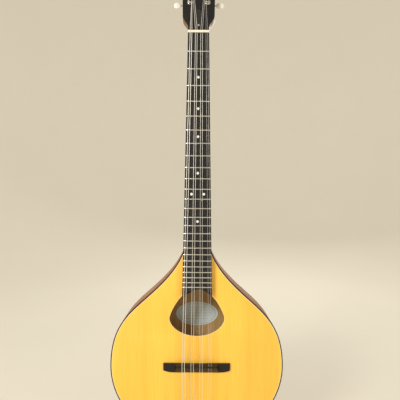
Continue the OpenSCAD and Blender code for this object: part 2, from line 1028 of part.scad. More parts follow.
module string_post(i) {
    flange_y = -veneer_thickness - bushing_flange;
    color(nickel)
        at_tuner(i) {
            difference() {
                union() {
                    bar_y(post_top_y, 1, post_radius - 0.3, post_radius);
                    bar_y(post_top_y + 1, flange_y - post_top_y - 1, post_neck_radius);
                    bar_y(flange_y, gear_front_y - part_gap - flange_y, post_radius);
                    bar_y(plate_back_y + 0.3, gear_front_y - part_gap - plate_back_y - 0.3,
                          bushing_radius);
                    bar_y(gear_front_y - 1, gear_thickness + 1, spigot_radius);
                }
                translate([-string_hole / 2, post_top_y + 1.7 - string_hole / 2, -5])
                    cube([string_hole, string_hole, 10]);
                bar_y(gear_back_y - gear_screw_length, gear_screw_length + 1, 1 + part_gap);
            }
            translate([0, gear_back_y + part_gap, 0])
                screw(gear_screw_head, 1.4, 1, gear_screw_length - 1);
        }
    color(brass)
        at_tuner(i)
        gear();
}

module key_shaft(i) {
    shaft_start = -lug_inner - lug_thickness / 2;
    color(nickel)
        at_tuner(i)
        translate([0, gear_y, key_rise]) {
            bar_x(shaft_start, button_inner + 9 - post_offset - shaft_start, shaft_radius);
            translate([-worm_turns * worm_pitch / 2, 0, 0])
                rotate([0, 90, 0])
                linear_extrude(worm_turns * worm_pitch, twist = -360 * worm_turns,
                               slices = 14 * worm_turns, $fn = 14)
                translate([worm_throw, 0])
                circle(worm_radius, $fn = 14);
            bar_x(worm_turns * worm_pitch / 2, 0.6, 2.4);
            bar_x(-worm_turns * worm_pitch / 2 - 0.4, 0.4, 2.4);
            bar_x(button_inner - post_offset - 1.5, 1.5, 2.2);
        }
}

// An oval button, rounded both ways by crossing two extruded outlines
module key_button(i) {
    color(ivoroid)
        at_tuner(i)
        translate([button_inner - post_offset, gear_y, key_rise])
        difference() {
            intersection() {
                translate([0, button_half_depth, 0])
                    rotate([90, 0, 0])
                    linear_extrude(2 * button_half_depth)
                    button_outline(button_half_height, 2.5);
                translate([0, 0, -button_half_height])
                    linear_extrude(2 * button_half_height)
                    button_outline(button_half_depth, 2.2);
            }
            bar_x(-1, 10, shaft_radius);
        }
}

module button_outline(half_height, power) {
    half = button_length / 2;
    polygon([for (a = [0 : 10 : 350])
        [half + half * sign(cos(a)) * pow(abs(cos(a)), 2 / power),
         half_height * sign(sin(a)) * pow(abs(sin(a)), 2 / power)]]);
}

plate_inner_x = 7.5;
plate_outer_x = 8;
plate_corner = 3;
plate_low_z = first_post - 14;
plate_high_z = first_post + 3 * post_pitch + 18;

module plate_outline() {
    difference() {
        translate([post_offset - plate_inner_x, plate_low_z])
            square([plate_inner_x + plate_outer_x, plate_high_z - plate_low_z]);
        for (x = [post_offset - plate_inner_x, post_offset + plate_outer_x])
            for (z = [plate_low_z, plate_high_z])
                translate([x, z])
                    circle(plate_corner);
    }
}

module lug(x) {
    difference() {
        union() {
            translate([x, plate_back_y - eps, key_rise - lug_half_width])
                cube([lug_thickness, gear_y - plate_back_y + eps, 2 * lug_half_width]);
            translate([0, gear_y, key_rise])
                bar_x(x, lug_thickness, lug_half_width);
        }
        translate([0, gear_y, key_rise])
            bar_x(x - 1, lug_thickness + 2, shaft_radius + bore_clearance);
    }
}

module tuner_plates() {
    color(nickel) {
        difference() {
            on_head()
                for (side = [-1, 1])
                    on_side(side)
                        slab(head_thickness, tuner_plate)
                        plate_outline();
            for (i = [1 : 8])
                at_tuner(i)
                    bar_y(head_thickness - 1, tuner_plate + 2, post_radius + bore_clearance);
            plate_screw_holes();
        }
        for (i = [1 : 8])
            at_tuner(i) {
                lug(-lug_inner);
                lug(lug_outer);
            }
    }
}

// ---------- The nodes ----------

soundboard();
back_plate();
sides();
linings();
neck_block();
tail_block();
top_braces();
back_braces();
bindings();
neck();
fingerboard_riser();
fingerboard();
frets();
inlay_dots();
nut();
headstock_veneer();
truss_rod();
truss_rod_nut();
truss_rod_cover();
cover_screw();
bridge();
tailpiece();
tailpiece_screws();
strap_button();
soundhole_label();
tuner_plates();
plate_screws();
post_bushings();
for (i = [1 : 8]) {
    string(i);
    string_post(i);
    key_shaft(i);
    key_button(i);
}
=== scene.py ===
import math

import bmesh
import bpy
from mathutils import Matrix, Vector


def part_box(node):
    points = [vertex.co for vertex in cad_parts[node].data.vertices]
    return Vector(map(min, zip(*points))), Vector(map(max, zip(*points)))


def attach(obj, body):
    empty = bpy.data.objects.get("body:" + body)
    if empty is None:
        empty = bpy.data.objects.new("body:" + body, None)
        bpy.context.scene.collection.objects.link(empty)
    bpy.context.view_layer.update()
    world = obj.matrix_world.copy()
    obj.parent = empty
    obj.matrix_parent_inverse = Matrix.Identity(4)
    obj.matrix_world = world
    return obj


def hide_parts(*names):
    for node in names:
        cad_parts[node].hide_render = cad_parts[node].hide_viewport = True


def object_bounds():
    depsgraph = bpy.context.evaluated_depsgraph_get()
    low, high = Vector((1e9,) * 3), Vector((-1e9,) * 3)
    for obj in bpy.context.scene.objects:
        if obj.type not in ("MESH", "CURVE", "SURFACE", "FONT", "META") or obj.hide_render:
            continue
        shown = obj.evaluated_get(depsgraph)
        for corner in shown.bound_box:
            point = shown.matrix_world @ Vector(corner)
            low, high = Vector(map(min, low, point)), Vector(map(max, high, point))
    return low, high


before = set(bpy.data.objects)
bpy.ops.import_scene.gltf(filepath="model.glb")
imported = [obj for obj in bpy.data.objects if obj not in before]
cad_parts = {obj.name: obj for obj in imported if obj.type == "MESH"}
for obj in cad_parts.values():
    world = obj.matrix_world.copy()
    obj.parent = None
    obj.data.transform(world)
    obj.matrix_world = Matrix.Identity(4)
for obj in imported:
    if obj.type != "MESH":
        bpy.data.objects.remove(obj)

cad_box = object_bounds()
MM = 0.001
scene = bpy.context.scene

# ---------- Places from the frame, and sizes that follow part.scad ----------

TOP_LOW, TOP_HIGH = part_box("soundboard")
SIDE_LOW, SIDE_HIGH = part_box("sides")
BACK_LOW, BACK_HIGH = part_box("back_plate")
BOARD_LOW, BOARD_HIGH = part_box("fingerboard")
NUT_LOW, NUT_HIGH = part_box("nut")
LABEL_LOW, LABEL_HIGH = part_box("soundhole_label")
LABEL_MIDDLE = (LABEL_LOW.z + LABEL_HIGH.z) / 2
LABEL_HALF_HEIGHT = (LABEL_HIGH.z - LABEL_LOW.z) / 2
BRIDGE_FRONT = 2.5 * MM
SADDLE_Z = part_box("bridge")[1].z - BRIDGE_FRONT
BINDING = SIDE_HIGH.x - TOP_HIGH.x
SIDE_WALL = 2.5 * MM
BINDING_HEIGHT = 5.5 * MM
SCALE = -SADDLE_Z
HEAD_ANGLE = math.radians(14)
HEAD_THICKNESS = 15 * MM
HEAD_LENGTH = 162 * MM
HEAD_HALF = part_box("headstock_veneer")[1].x
VENEER = 2 * MM
HEAD = Matrix.Translation((0, 0, NUT_HIGH.z)) @ Matrix.Rotation(-HEAD_ANGLE, 4, "X")
NUT_HALF = NUT_HIGH.x
FRET_COUNT = 25
LAST_FRET_HALF = 28 * MM
BOARD_SLOPE = (LAST_FRET_HALF - NUT_HALF) / (SCALE * (1 - 2 ** (-FRET_COUNT / 12)))
POST_OFFSET = 17 * MM
POST_PITCH = 23 * MM
FIRST_POST = 64 * MM
GEAR_Y = 19.3 * MM
KEY_RISE = 8.4 * MM

# ---------- Outlines, as points in X and Z ----------


def bezier(a, b, c, d, steps):
    points = []
    for i in range(steps):
        t = i / steps
        u = 1 - t
        points.append(tuple(
            u ** 3 * a[k] + 3 * t * u * u * b[k] + 3 * t * t * u * c[k] + t ** 3 * d[k]
            for k in (0, 1)))
    return points


def mirrored(points):
    return [(-x, z) for x, z in reversed(points)]


def from_saddle(points):
    return [(x * MM, SADDLE_Z + z * MM) for x, z in points]


# Control points in millimetres: across from the middle, and up from the saddle.
BODY_WIDE = (SIDE_HIGH.x / MM, -3)
BODY_DROP = 148
SHOULDER = (100, 126)
BODY_CURVES = (((26.5, 219), (39.7, 181.4), (70, 152.4), SHOULDER),
               (SHOULDER, (137.5, 93), (BODY_WIDE[0], 67), BODY_WIDE))
HOLE_CURVES = (((0, 146), (30.7, 146), (53, 96), (53, 88)),
               ((53, 88), (53, 71), (30, 53.5), (0, 53.5)))
# Above this height the fingerboard's end follows the soundhole.
HOLE_UPPER_PART = 110 * MM


def body_outline(inset=0.0):
    """The body's edge, moved inwards by inset."""
    right = from_saddle(
        bezier(*BODY_CURVES[0], 36) + bezier(*BODY_CURVES[1], 36)
        + [(BODY_WIDE[0] * math.cos(a), BODY_WIDE[1] - BODY_DROP * math.sin(a))
           for a in (math.radians(1.5 * k) for k in range(60))])
    moved = []
    for i, (x, z) in enumerate(right):
        before = right[max(i - 1, 0)]
        after = right[min(i + 1, len(right) - 1)]
        dx, dz = after[0] - before[0], after[1] - before[1]
        size = math.hypot(dx, dz)
        moved.append((x + inset * dz / size,
                      min(z - inset * dx / size, SIDE_HIGH.z - inset)))
    return moved + [(0, SIDE_LOW.z + inset)] + mirrored(moved)


def hole_half(steps=28):
    """The right half of the soundhole's edge, from its top to just short of its bottom."""
    return from_saddle(bezier(*HOLE_CURVES[0], steps) + bezier(*HOLE_CURVES[1], steps))


def hole_outline(grow=0.0):
    """The soundhole's edge, moved outwards by grow."""
    half = hole_half() + [(0, SADDLE_Z + HOLE_CURVES[1][3][1] * MM)]
    moved = [(0, half[0][1] + grow)]
    for before, (x, z), after in zip(half, half[1:], half[2:]):
        dx, dz = after[0] - before[0], after[1] - before[1]
        size = math.hypot(dx, dz)
        moved.append((x - grow * dz / size, z + grow * dx / size))
    return moved + [(0, half[-1][1] - grow)] + mirrored(moved[1:])


def board_half(z):
    return NUT_HALF - BOARD_SLOPE * z


def board_outline(top_z):
    """The fingerboard's outline, whose end follows the soundhole."""
    arc = [(x, z) for x, z in hole_half(60)
           if x < board_half(z) and z > SADDLE_Z + HOLE_UPPER_PART]
    end_z = arc[-1][1]
    right = [(board_half(top_z), top_z), (board_half(end_z), end_z)]
    return right + list(reversed(arc)) + mirrored(arc[1:]) + mirrored(right)


def circle(x, z, radius, steps=32):
    return [(x + radius * math.cos(a), z + radius * math.sin(a))
            for a in (2 * math.pi * k / steps for k in range(steps))]


# Control points in millimetres: across from the middle, and up from the nut.
HEAD_FLARE = ((NUT_HALF / MM, 6), (NUT_HALF / MM, 18), (30, 22), (31, 32))
HEAD_CROWN = ((HEAD_HALF / MM, 146), (HEAD_HALF / MM, 157), (14, 162), (0, 162))


def head_outline(low):
    """The headstock's edge, cut off straight across at the height low."""
    curve = bezier(*HEAD_FLARE, 20) + [HEAD_FLARE[3]] + bezier(*HEAD_CROWN, 24)
    half = [(NUT_HALF, 0.0)] + [(x * MM, z * MM) for x, z in curve]
    half = [(x, max(z, low)) for x, z in half]
    return half + [(0, HEAD_LENGTH)] + mirrored(half)


# ---------- Making meshes ----------


def new_object(name, mesh):
    piece = bpy.data.objects.new(name, mesh)
    scene.collection.objects.link(piece)
    return piece


def smooth(mesh, degrees=35):
    mesh.polygons.foreach_set("use_smooth", [True] * len(mesh.polygons))
    mesh.set_sharp_from_angle(angle=math.radians(degrees))


def apply_modifiers(piece):
    """Give the piece a mesh with its modifiers applied, and no modifiers."""
    graph = bpy.context.evaluated_depsgraph_get()
    mesh = bpy.data.meshes.new_from_object(piece.evaluated_get(graph))
    piece.modifiers.clear()
    piece.data = mesh


def signed_area(loop):
    return sum(a[0] * b[1] - b[0] * a[1] for a, b in zip(loop, loop[1:] + loop[:1])) / 2


def slab(name, loops, y0, y1, bevel=0.2 * MM, matrix=Matrix.Identity(4)):
    """A plate between two Y planes, with rounded edges. The first loop is the outside."""
    curve = bpy.data.curves.new(name, "CURVE")
    curve.dimensions = "2D"
    curve.fill_mode = "BOTH"
    curve.extrude = (y1 - y0) / 2 - bevel
    curve.bevel_depth = bevel
    curve.bevel_resolution = 2
    curve.offset = -bevel
    for k, loop in enumerate(loops):
        if (signed_area(loop) > 0) != (k == 0):
            loop = loop[::-1]
        spline = curve.splines.new("POLY")
        spline.points.add(len(loop) - 1)
        for point, (x, z) in zip(spline.points, loop):
            point.co = (x, z, 0, 1)
        spline.use_cyclic_u = True
    holder = new_object(name + "_curve", curve)
    graph = bpy.context.evaluated_depsgraph_get()
    mesh = bpy.data.meshes.new_from_object(holder.evaluated_get(graph))
    bpy.data.objects.remove(holder)
    stand_up = Matrix.Translation((0, (y0 + y1) / 2, 0)) @ Matrix.Rotation(math.pi / 2, 4, "X")
    mesh.transform(matrix @ stand_up)
    weld(mesh)
    smooth(mesh, 25)
    return new_object(name, mesh)


def weld(mesh, distance=1e-6):
    work = bmesh.new()
    work.from_mesh(mesh)
    bmesh.ops.remove_doubles(work, verts=work.verts, dist=distance)
    bmesh.ops.recalc_face_normals(work, faces=work.faces)
    work.to_mesh(mesh)
    work.free()


def loft(name, rings, degrees=40):
    """A closed skin through rings that have the same number of points."""
    work = bmesh.new()
    rows = [[work.verts.new(p) for p in ring] for ring in rings]
    count = len(rows[0])
    for low, high in zip(rows, rows[1:]):
        for i in range(count):
            j = (i + 1) % count
            work.faces.new((low[i], low[j], high[j], high[i]))
    work.faces.new(rows[0][::-1])
    work.faces.new(rows[-1])
    bmesh.ops.recalc_face_normals(work, faces=work.faces)
    mesh = bpy.data.meshes.new(name)
    work.to_mesh(mesh)
    work.free()
    smooth(mesh, degrees)
    return new_object(name, mesh)


def tube(name, points, radius, sides=12):
    """A round tube along points whose path never runs parallel to Y."""
    rings = []
    for k, point in enumerate(points):
        along = (points[min(k + 1, len(points) - 1)] - points[max(k - 1, 0)]).normalized()
        u = Vector((0, 1, 0)).cross(along).normalized()
        v = along.cross(u)
        rings.append([
            point + radius * (math.cos(a) * u + math.sin(a) * v)
            for a in (2 * math.pi * j / sides for j in range(sides))])
    return loft(name, rings, 60)


def refined(name, node, bevel):
    """A copy of a CAD node with its edges rounded."""
    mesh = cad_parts[node].data.copy()
    mesh.name = name
    weld(mesh, 2e-6)
    work = bmesh.new()
    work.from_mesh(mesh)
    bmesh.ops.dissolve_limit(work, angle_limit=math.radians(0.5), verts=work.verts,
                             edges=work.edges)
    work.to_mesh(mesh)
    work.free()
    piece = new_object(name, mesh)
    edge = piece.modifiers.new("edge", "BEVEL")
    edge.width = bevel
    edge.segments = 2
    edge.limit_method = "ANGLE"
    edge.angle_limit = math.radians(40)
    edge.use_clamp_overlap = True
    apply_modifiers(piece)
    smooth(piece.data, 28)
    return piece


def cut_away(piece, tool):
    """Cut the tool's shape out of the piece, and remove the tool."""
    cut = piece.modifiers.new("cut", "BOOLEAN")
    cut.object = tool
    cut.solver = "EXACT"
    apply_modifiers(piece)
    bpy.data.objects.remove(tool)
    smooth(piece.data)


def join(name, pieces):
    """One object in place of several."""
    work = bmesh.new()
    for piece in pieces:
        work.from_mesh(piece.data)
        bpy.data.objects.remove(piece)
    mesh = bpy.data.meshes.new(name)
    work.to_mesh(mesh)
    work.free()
    return new_object(name, mesh)


def place(piece, body, slot, material, *nodes):
    """Give a finished piece its material and its body, and hide the nodes it stands for. The slot
    is not used.
    """
    piece.data.materials.clear()
    piece.data.materials.append(material)
    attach(piece, body)
    if nodes:
        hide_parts(*nodes)


# ---------- Finishes ----------


def srgb(r, g, b):
    """A colour given as 0 to 255, as the shader's linear values."""
    def linear(c):
        c /= 255
        return c / 12.92 if c <= 0.04045 else ((c + 0.055) / 1.055) ** 2.4
    return (linear(r), linear(g), linear(b), 1)


def shaded(colour, share):
    return tuple(c * share for c in colour[:3]) + (1,)


class Finish:
    """A material whose principled shader is driven by texture nodes in object coordinates."""

    def __init__(self, name, **values):
        self.material = bpy.data.materials.new(name)
        self.material.use_nodes = True
        self.tree = self.material.node_tree
        self.shader = self.tree.nodes["Principled BSDF"]
        self.fill(self.shader, {key.replace("_", " "): value for key, value in values.items()})
        self.place = self.add("TexCoord").outputs["Object"]

    def fill(self, node, inputs):
        for key, value in inputs.items():
            socket = node.inputs[key]
            if isinstance(value, bpy.types.NodeSocket):
                self.tree.links.new(value, socket)
            else:
                socket.default_value = value

    def add(self, kind, inputs=None, **settings):
        node = self.tree.nodes.new("ShaderNode" + kind)
        for key, value in settings.items():
            setattr(node, key, value)
        self.fill(node, inputs or {})
        return node

    def math(self, operation, a, b=0.0):
        node = self.add("Math", operation=operation)
        self.fill(node, {0: a, 1: b})
        return node.outputs[0]

    def scaled(self, x, y, z):
        node = self.add("VectorMath", {0: self.place, 1: (x, y, z)}, operation="MULTIPLY")
        return node.outputs[0]

    def noise(self, vector, scale=1.0, detail=3.0, roughness=0.55):
        node = self.add("TexNoise", {"Vector": vector, "Scale": scale, "Detail": detail,
                                     "Roughness": roughness})
        return node.outputs["Fac"]

    def between(self, value, low, high, out_low=0.0, out_high=1.0):
        node = self.add("MapRange", {"Value": value, "From Min": low, "From Max": high,
                                     "To Min": out_low, "To Max": out_high})
        return node.outputs["Result"]

    def mix(self, share, a, b):
        node = self.add("Mix", data_type="RGBA", blend_type="MIX")
        for socket, value in zip((node.inputs[0], node.inputs[6], node.inputs[7]), (share, a, b)):
            if isinstance(value, bpy.types.NodeSocket):
                self.tree.links.new(value, socket)
            else:
                socket.default_value = value
        return node.outputs[2]

    def bump(self, height, strength, distance):
        node = self.add("Bump", {"Height": height, "Strength": strength, "Distance": distance})
        self.fill(self.shader, {"Normal": node.outputs["Normal"]})

    def colour(self, value):
        self.fill(self.shader, {"Base Color": value})


def wood(name, light, dark, grain, line, streak=0.5, pores=0.0, tone=0.35, booked=False,
         gloss=0.0, roughness=0.5, bump=0.15, shine=0.5):
    """A wood whose grain runs along one axis, with lines that far apart in metres."""
    finish = Finish(name, Coat_Weight=gloss, Coat_Roughness=0.07, Specular_IOR_Level=shine)
    axes = finish.add("SeparateXYZ", {"Vector": finish.place})
    x, y, z = (axes.outputs[k] for k in range(3))
    if booked:
        x = finish.math("ABSOLUTE", x)
    combined = finish.add("CombineXYZ", {"X": x, "Y": y, "Z": z}).outputs[0]
    stretch = [1 / line] * 3
    stretch["XYZ".index(grain)] = 0.02 / line
    stretched = finish.add("VectorMath", {0: combined, 1: stretch}, operation="MULTIPLY")
    long_grain = stretched.outputs[0]
    fine = finish.noise(long_grain, 1.0, 4.0, 0.6)
    broad = finish.noise(long_grain, 0.09, 2.0, 0.5)
    lines = finish.between(fine, 0.38, 0.62)
    tones = finish.between(broad, 0.3, 0.7)
    share = finish.math("ADD", finish.math("MULTIPLY", lines, streak),
                        finish.math("MULTIPLY", tones, tone))
    colour = finish.mix(share, light, dark)
    if pores:
        pore = finish.between(finish.noise(long_grain, 3.1, 1.0, 0.4), 0.63, 0.7)
        colour = finish.mix(finish.math("MULTIPLY", pore, pores), colour,
                            shaded(dark, 0.35))
    finish.colour(colour)
    handled = finish.noise(finish.scaled(14, 14, 14), 1.0, 2.0)
    finish.fill(finish.shader, {
        "Roughness": finish.between(handled, 0.3, 0.7, roughness * 0.85, roughness * 1.15)})
    finish.bump(fine, bump, 0.0002)
    return finish.material


def metal(name, colour, roughness=0.2, brushed=0.0, metallic=1.0):
    """A metal with a faint cloud in its colour and gloss, and fine lines if it is brushed."""
    finish = Finish(name, Metallic=metallic)
    cloud = finish.noise(finish.scaled(90, 90, 90), 1.0, 3.0)
    finish.colour(finish.mix(finish.between(cloud, 0.35, 0.7), colour,
                             shaded(colour, 0.82)))
    finish.fill(finish.shader, {
        "Roughness": finish.between(cloud, 0.3, 0.7, roughness * 0.8, roughness * 1.3)})
    if brushed:
        finish.bump(finish.noise(finish.scaled(4000, 200, 200), 1.0, 2.0), brushed, 0.00005)
    return finish.material


def plastic(name, colour, second, scale, roughness=0.25, gloss=0.3, shine=0.5):
    """A moulded plastic or bone, with a faint cloud of a second colour."""
    finish = Finish(name, Coat_Weight=gloss, Coat_Roughness=0.08, Specular_IOR_Level=shine)
    cloud = finish.noise(finish.scaled(scale, scale, scale), 1.0, 4.0)
    finish.colour(finish.mix(finish.between(cloud, 0.4, 0.68), colour, second))
    finish.fill(finish.shader, {
        "Roughness": finish.between(cloud, 0.3, 0.7, roughness * 0.8, roughness * 1.2)})
    finish.bump(finish.noise(finish.scaled(900, 900, 900), 1.0, 2.0), 0.06, 0.00005)
    return finish.material


def wound_metal(name, core, pitch):
    """Winding wire round a string: the turns show as fine ridges along the string, with painted
    shade darkening the grooves between them.
    """
    finish = Finish(name, Metallic=0.55, Roughness=0.35)
    bands = finish.add("TexWave", {"Vector": finish.place, "Scale": math.pi / (10 * pitch),
                                   "Distortion": 0.0}, wave_type="BANDS", bands_direction="Z")
    turns = bands.outputs["Fac"]
    # Painted shade: the colour darkens to 0.7 in the grooves between the turns.
    finish.colour(finish.mix(turns, shaded(core, 0.7), core))
    finish.bump(turns, 0.5, 0.0001)
    return finish.material


def paper(name, base, ink, centre, half_width, half_height):
    """A paper label with an oval border and plain ruled lines, 6 mm apart and 0.6 mm thick."""
    finish = Finish(name, Roughness=0.85)
    axes = finish.add("SeparateXYZ", {"Vector": finish.place})
    x, z = axes.outputs[0], finish.math("SUBTRACT", axes.outputs[2], centre)
    u, v = finish.math("DIVIDE", x, half_width), finish.math("DIVIDE", z, half_height)
    radius = finish.math("SQRT", finish.math("ADD", finish.math("MULTIPLY", u, u),
                                             finish.math("MULTIPLY", v, v)))
    from_border = finish.math("ABSOLUTE", finish.math("SUBTRACT", radius, 0.88))
    border = finish.math("LESS_THAN", from_border, 0.014)
    from_line = finish.math("MODULO", finish.math("ADD", z, 0.503), 0.006)
    across = finish.math("LESS_THAN", finish.math("ABSOLUTE", from_line), 0.0006)
    inside = finish.math("LESS_THAN", radius, 0.7)
    lines = finish.math("MAXIMUM", border, finish.math("MULTIPLY", across, inside))
    fibre = finish.noise(finish.scaled(700, 700, 700), 1.0, 3.0)
    aged = finish.mix(finish.between(fibre, 0.3, 0.8, 0.0, 0.5), base, shaded(base, 0.8))
    finish.colour(finish.mix(finish.math("MULTIPLY", lines, 0.5), aged, ink))
    finish.bump(fibre, 0.1, 0.0001)
    return finish.material


def pearl(name):
    """Mother of pearl: small cells of three pale tints."""
    finish = Finish(name, Roughness=0.18, Coat_Weight=0.6, Coat_Roughness=0.05)
    cells = finish.add("TexVoronoi", {"Vector": finish.place, "Scale": 700.0})
    cloud = finish.noise(finish.scaled(500, 500, 500), 1.0, 3.0)
    first = finish.mix(cloud, srgb(244, 240, 232), srgb(222, 232, 226))
    finish.colour(finish.mix(finish.between(cells.outputs["Distance"], 0.0, 0.9, 0.0, 0.6), first,
                             srgb(236, 218, 222)))
    return finish.material


SPRUCE = wood("spruce_lacquer", srgb(250, 201, 74), srgb(234, 168, 42), "Z", 1.7 * MM,
              streak=0.3, tone=0.4, booked=True, gloss=0.5, roughness=0.4, bump=0.05)
# Paler spruce for the soundhole's ring: bare cut wood inside the hole, and a painted highlight on
# the top's face round the hole.
SPRUCE_CUT_AND_HIGHLIGHT = wood("spruce_cut_and_highlight", srgb(255, 238, 188), srgb(240, 212, 150), "Z", 1.2 * MM,
                   roughness=0.6)
MAHOGANY = wood("mahogany_lacquer", srgb(176, 114, 68), srgb(126, 72, 40), "Z", 2.2 * MM,
                pores=0.7, gloss=0.08, roughness=0.5, shine=0.25)
MAHOGANY_BACK = wood("mahogany_back", srgb(158, 98, 50), srgb(104, 56, 26), "Z", 2.4 * MM,
                     pores=0.7, booked=True, gloss=0.5, roughness=0.4)
NECK_WOOD = wood("mahogany_satin", srgb(140, 84, 44), srgb(92, 48, 24), "Z", 2.0 * MM,
                 pores=0.8, gloss=0.25, roughness=0.42)
RISER_WOOD = wood("mahogany_riser", srgb(136, 82, 44), srgb(92, 50, 26), "Z", 2.0 * MM, pores=0.7)
BARE_SPRUCE = wood("spruce_bare", srgb(226, 196, 142), srgb(196, 158, 100), "X", 1.5 * MM,
                   roughness=0.7)
BARE_LINING = wood("lining_bare", srgb(214, 182, 132), srgb(180, 142, 92), "Z", 2.0 * MM,
                   roughness=0.75)
BARE_BLOCK = wood("block_bare", srgb(170, 122, 76), srgb(130, 84, 46), "X", 2.4 * MM, pores=0.6,
                  roughness=0.7)
BARE_BACK = wood("mahogany_bare", srgb(214, 176, 112), srgb(188, 146, 86), "Z", 2.2 * MM,
                 pores=0.4, roughness=0.65)
EBONY = wood("ebony_oiled", srgb(38, 35, 34), srgb(24, 22, 22), "Z", 1.2 * MM, streak=0.2,
             pores=0.15, roughness=0.5, bump=0.08, shine=0.2)
EBONY_BRIDGE = wood("ebony_bridge", srgb(34, 29, 26), srgb(20, 17, 16), "X", 1.2 * MM, pores=0.5,
                    roughness=0.4, bump=0.1, shine=0.3)
BLACK_VENEER = plastic("black_veneer", srgb(16, 15, 15), srgb(26, 24, 23), 120, 0.3, 0.3,
                       shine=0.25)
BLACK_PLASTIC = plastic("black_plastic", srgb(16, 16, 17), srgb(28, 27, 27), 200, 0.3, 0.5)
BINDING_DARK = plastic("binding_dark", srgb(20, 15, 13), srgb(44, 28, 18), 240, 0.5, 0.0,
                       shine=0.15)
# Pale purfling colour for the line inside the dark binding: a painted highlight along the body's
# rounded edge.
BINDING_HIGHLIGHT = plastic("binding_highlight", srgb(238, 222, 180), srgb(224, 204, 156), 160, 0.3, 0.8)
BONE = plastic("bone", srgb(236, 228, 208), srgb(222, 210, 182), 260, 0.3, 0.3)
BUTTON_WHITE = plastic("button_pearloid", srgb(246, 243, 236), srgb(220, 218, 212), 220, 0.16,
                       0.8)
BUTTON_BLACK = plastic("button_black", srgb(24, 23, 23), srgb(40, 37, 35), 200, 0.28, 0.6)
PEARL = pearl("pearl_inlay")
NICKEL = metal("nickel", srgb(206, 200, 190), 0.2)
NICKEL_PLATE = metal("nickel_plate", srgb(210, 205, 196), 0.24, 0.1)
FRET_WIRE = metal("fret_wire", srgb(214, 210, 202), 0.24)
SCREW_STEEL = metal("screw_steel", srgb(196, 190, 180), 0.3)
ROD_STEEL = metal("rod_steel", srgb(150, 148, 146), 0.4, 0.2)
BRASS = metal("brass", srgb(214, 170, 88), 0.26)
PLAIN_STEEL = metal("plain_steel", srgb(240, 238, 232), 0.35, metallic=0.55)
BRONZE_WOUND = wound_metal("bronze_wound", srgb(240, 236, 226), 0.3 * MM)
LABEL_PAPER = paper("label_paper", srgb(240, 255, 255), srgb(140, 140, 140),
                    LABEL_MIDDLE, LABEL_HIGH.x, LABEL_HALF_HEIGHT)

# ---------- Body ----------

# Width of the pale line inside the dark binding, painted as the edge's highlight.
HIGHLIGHT_LINE = 0.9 * MM
DARK_LINE = BINDING + 0.5 * MM
BARE_SKIN = 0.6 * MM
# Width of the pale ring on the top's face round the soundhole, a painted highlight.
HOLE_HIGHLIGHT_RIM = 0.5 * MM
THIN_EDGE = 0.05 * MM


def build_body():
    """The soundboard, back, sides, bindings and label, as plates with their edges rounded, and
    pale painted highlights inside the binding and round the soundhole.
    """
    place(slab("soundboard_top", [body_outline(DARK_LINE + HIGHLIGHT_LINE), hole_outline(HOLE_HIGHLIGHT_RIM)],
               TOP_LOW.y, TOP_HIGH.y, THIN_EDGE), "body", "spruce", SPRUCE, "soundboard")
    # The pale ring is the hole's bare cut face, plus a painted highlight on the top's face round
    # it.
    place(slab("soundhole_cut_and_highlight", [hole_outline(HOLE_HIGHLIGHT_RIM), hole_outline()], TOP_LOW.y, TOP_HIGH.y,
               0.22 * MM), "body", "spruce", SPRUCE_CUT_AND_HIGHLIGHT)
    place(slab("back_shell", [body_outline(DARK_LINE + HIGHLIGHT_LINE)], BACK_LOW.y + BARE_SKIN,
               BACK_HIGH.y, 0.25 * MM), "body", "mahogany", MAHOGANY_BACK, "back_plate")
    place(slab("back_inside", [body_outline(SIDE_WALL)], BACK_LOW.y, BACK_LOW.y + BARE_SKIN,
               THIN_EDGE), "body", "mahogany", BARE_BACK)
    rim = slab("rim", [body_outline(), body_outline(SIDE_WALL)], TOP_LOW.y + BINDING_HEIGHT,
               BACK_HIGH.y - BINDING_HEIGHT, THIN_EDGE)
    ledges = [slab("ledge", [body_outline(BINDING), body_outline(SIDE_WALL)], y0, y1, THIN_EDGE)
              for y0, y1 in ((TOP_HIGH.y, TOP_LOW.y + BINDING_HEIGHT),
                             (BACK_HIGH.y - BINDING_HEIGHT, BACK_LOW.y))]
    place(join("side_rim", [rim] + ledges), "body", "mahogany", MAHOGANY, "sides")
    edges = ((TOP_LOW.y, TOP_LOW.y + BINDING_HEIGHT),
             (BACK_HIGH.y - BINDING_HEIGHT, BACK_HIGH.y))
    dark = join("binding_outer", [
        slab("dark", [body_outline(), body_outline(DARK_LINE)], y0, y1, 0.35 * MM)
        for y0, y1 in edges])
    place(dark, "body", "binding", BINDING_DARK, "bindings")
    # A pale line inside the dark binding on top and back, drawn as purfling: a painted highlight
    # along the rounded edge.
    light = join("binding_highlight_line", [
        slab("light", [body_outline(DARK_LINE), body_outline(DARK_LINE + HIGHLIGHT_LINE)],
             y0, y1, THIN_EDGE)
        for y0, y1 in ((TOP_LOW.y, TOP_HIGH.y), (BACK_LOW.y, BACK_HIGH.y))])
    place(light, "body", "binding", BINDING_HIGHLIGHT)
    label = [(LABEL_HIGH.x * math.cos(a), LABEL_MIDDLE + LABEL_HALF_HEIGHT * math.sin(a))
             for a in (math.radians(4 * k) for k in range(90))]
    place(slab("label_sheet", [label], LABEL_LOW.y, LABEL_HIGH.y, 0.03 * MM),
          "body", "label_paper", LABEL_PAPER, "soundhole_label")


# ---------- Neck, fingerboard and headstock ----------

HEEL_START = -340 * MM
HEEL_DEPTH = 74 * MM
HEEL_SWEEP = 2.6
HEEL_TAPER = 0.3
NECK_DEPTH = 15 * MM
NECK_SWELL = 2.5 * MM
NECK_ROUNDNESS = 0.8
NECK_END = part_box("fingerboard_riser")[1].z
THROAT_START = -12 * MM
THROAT_END = 12 * MM
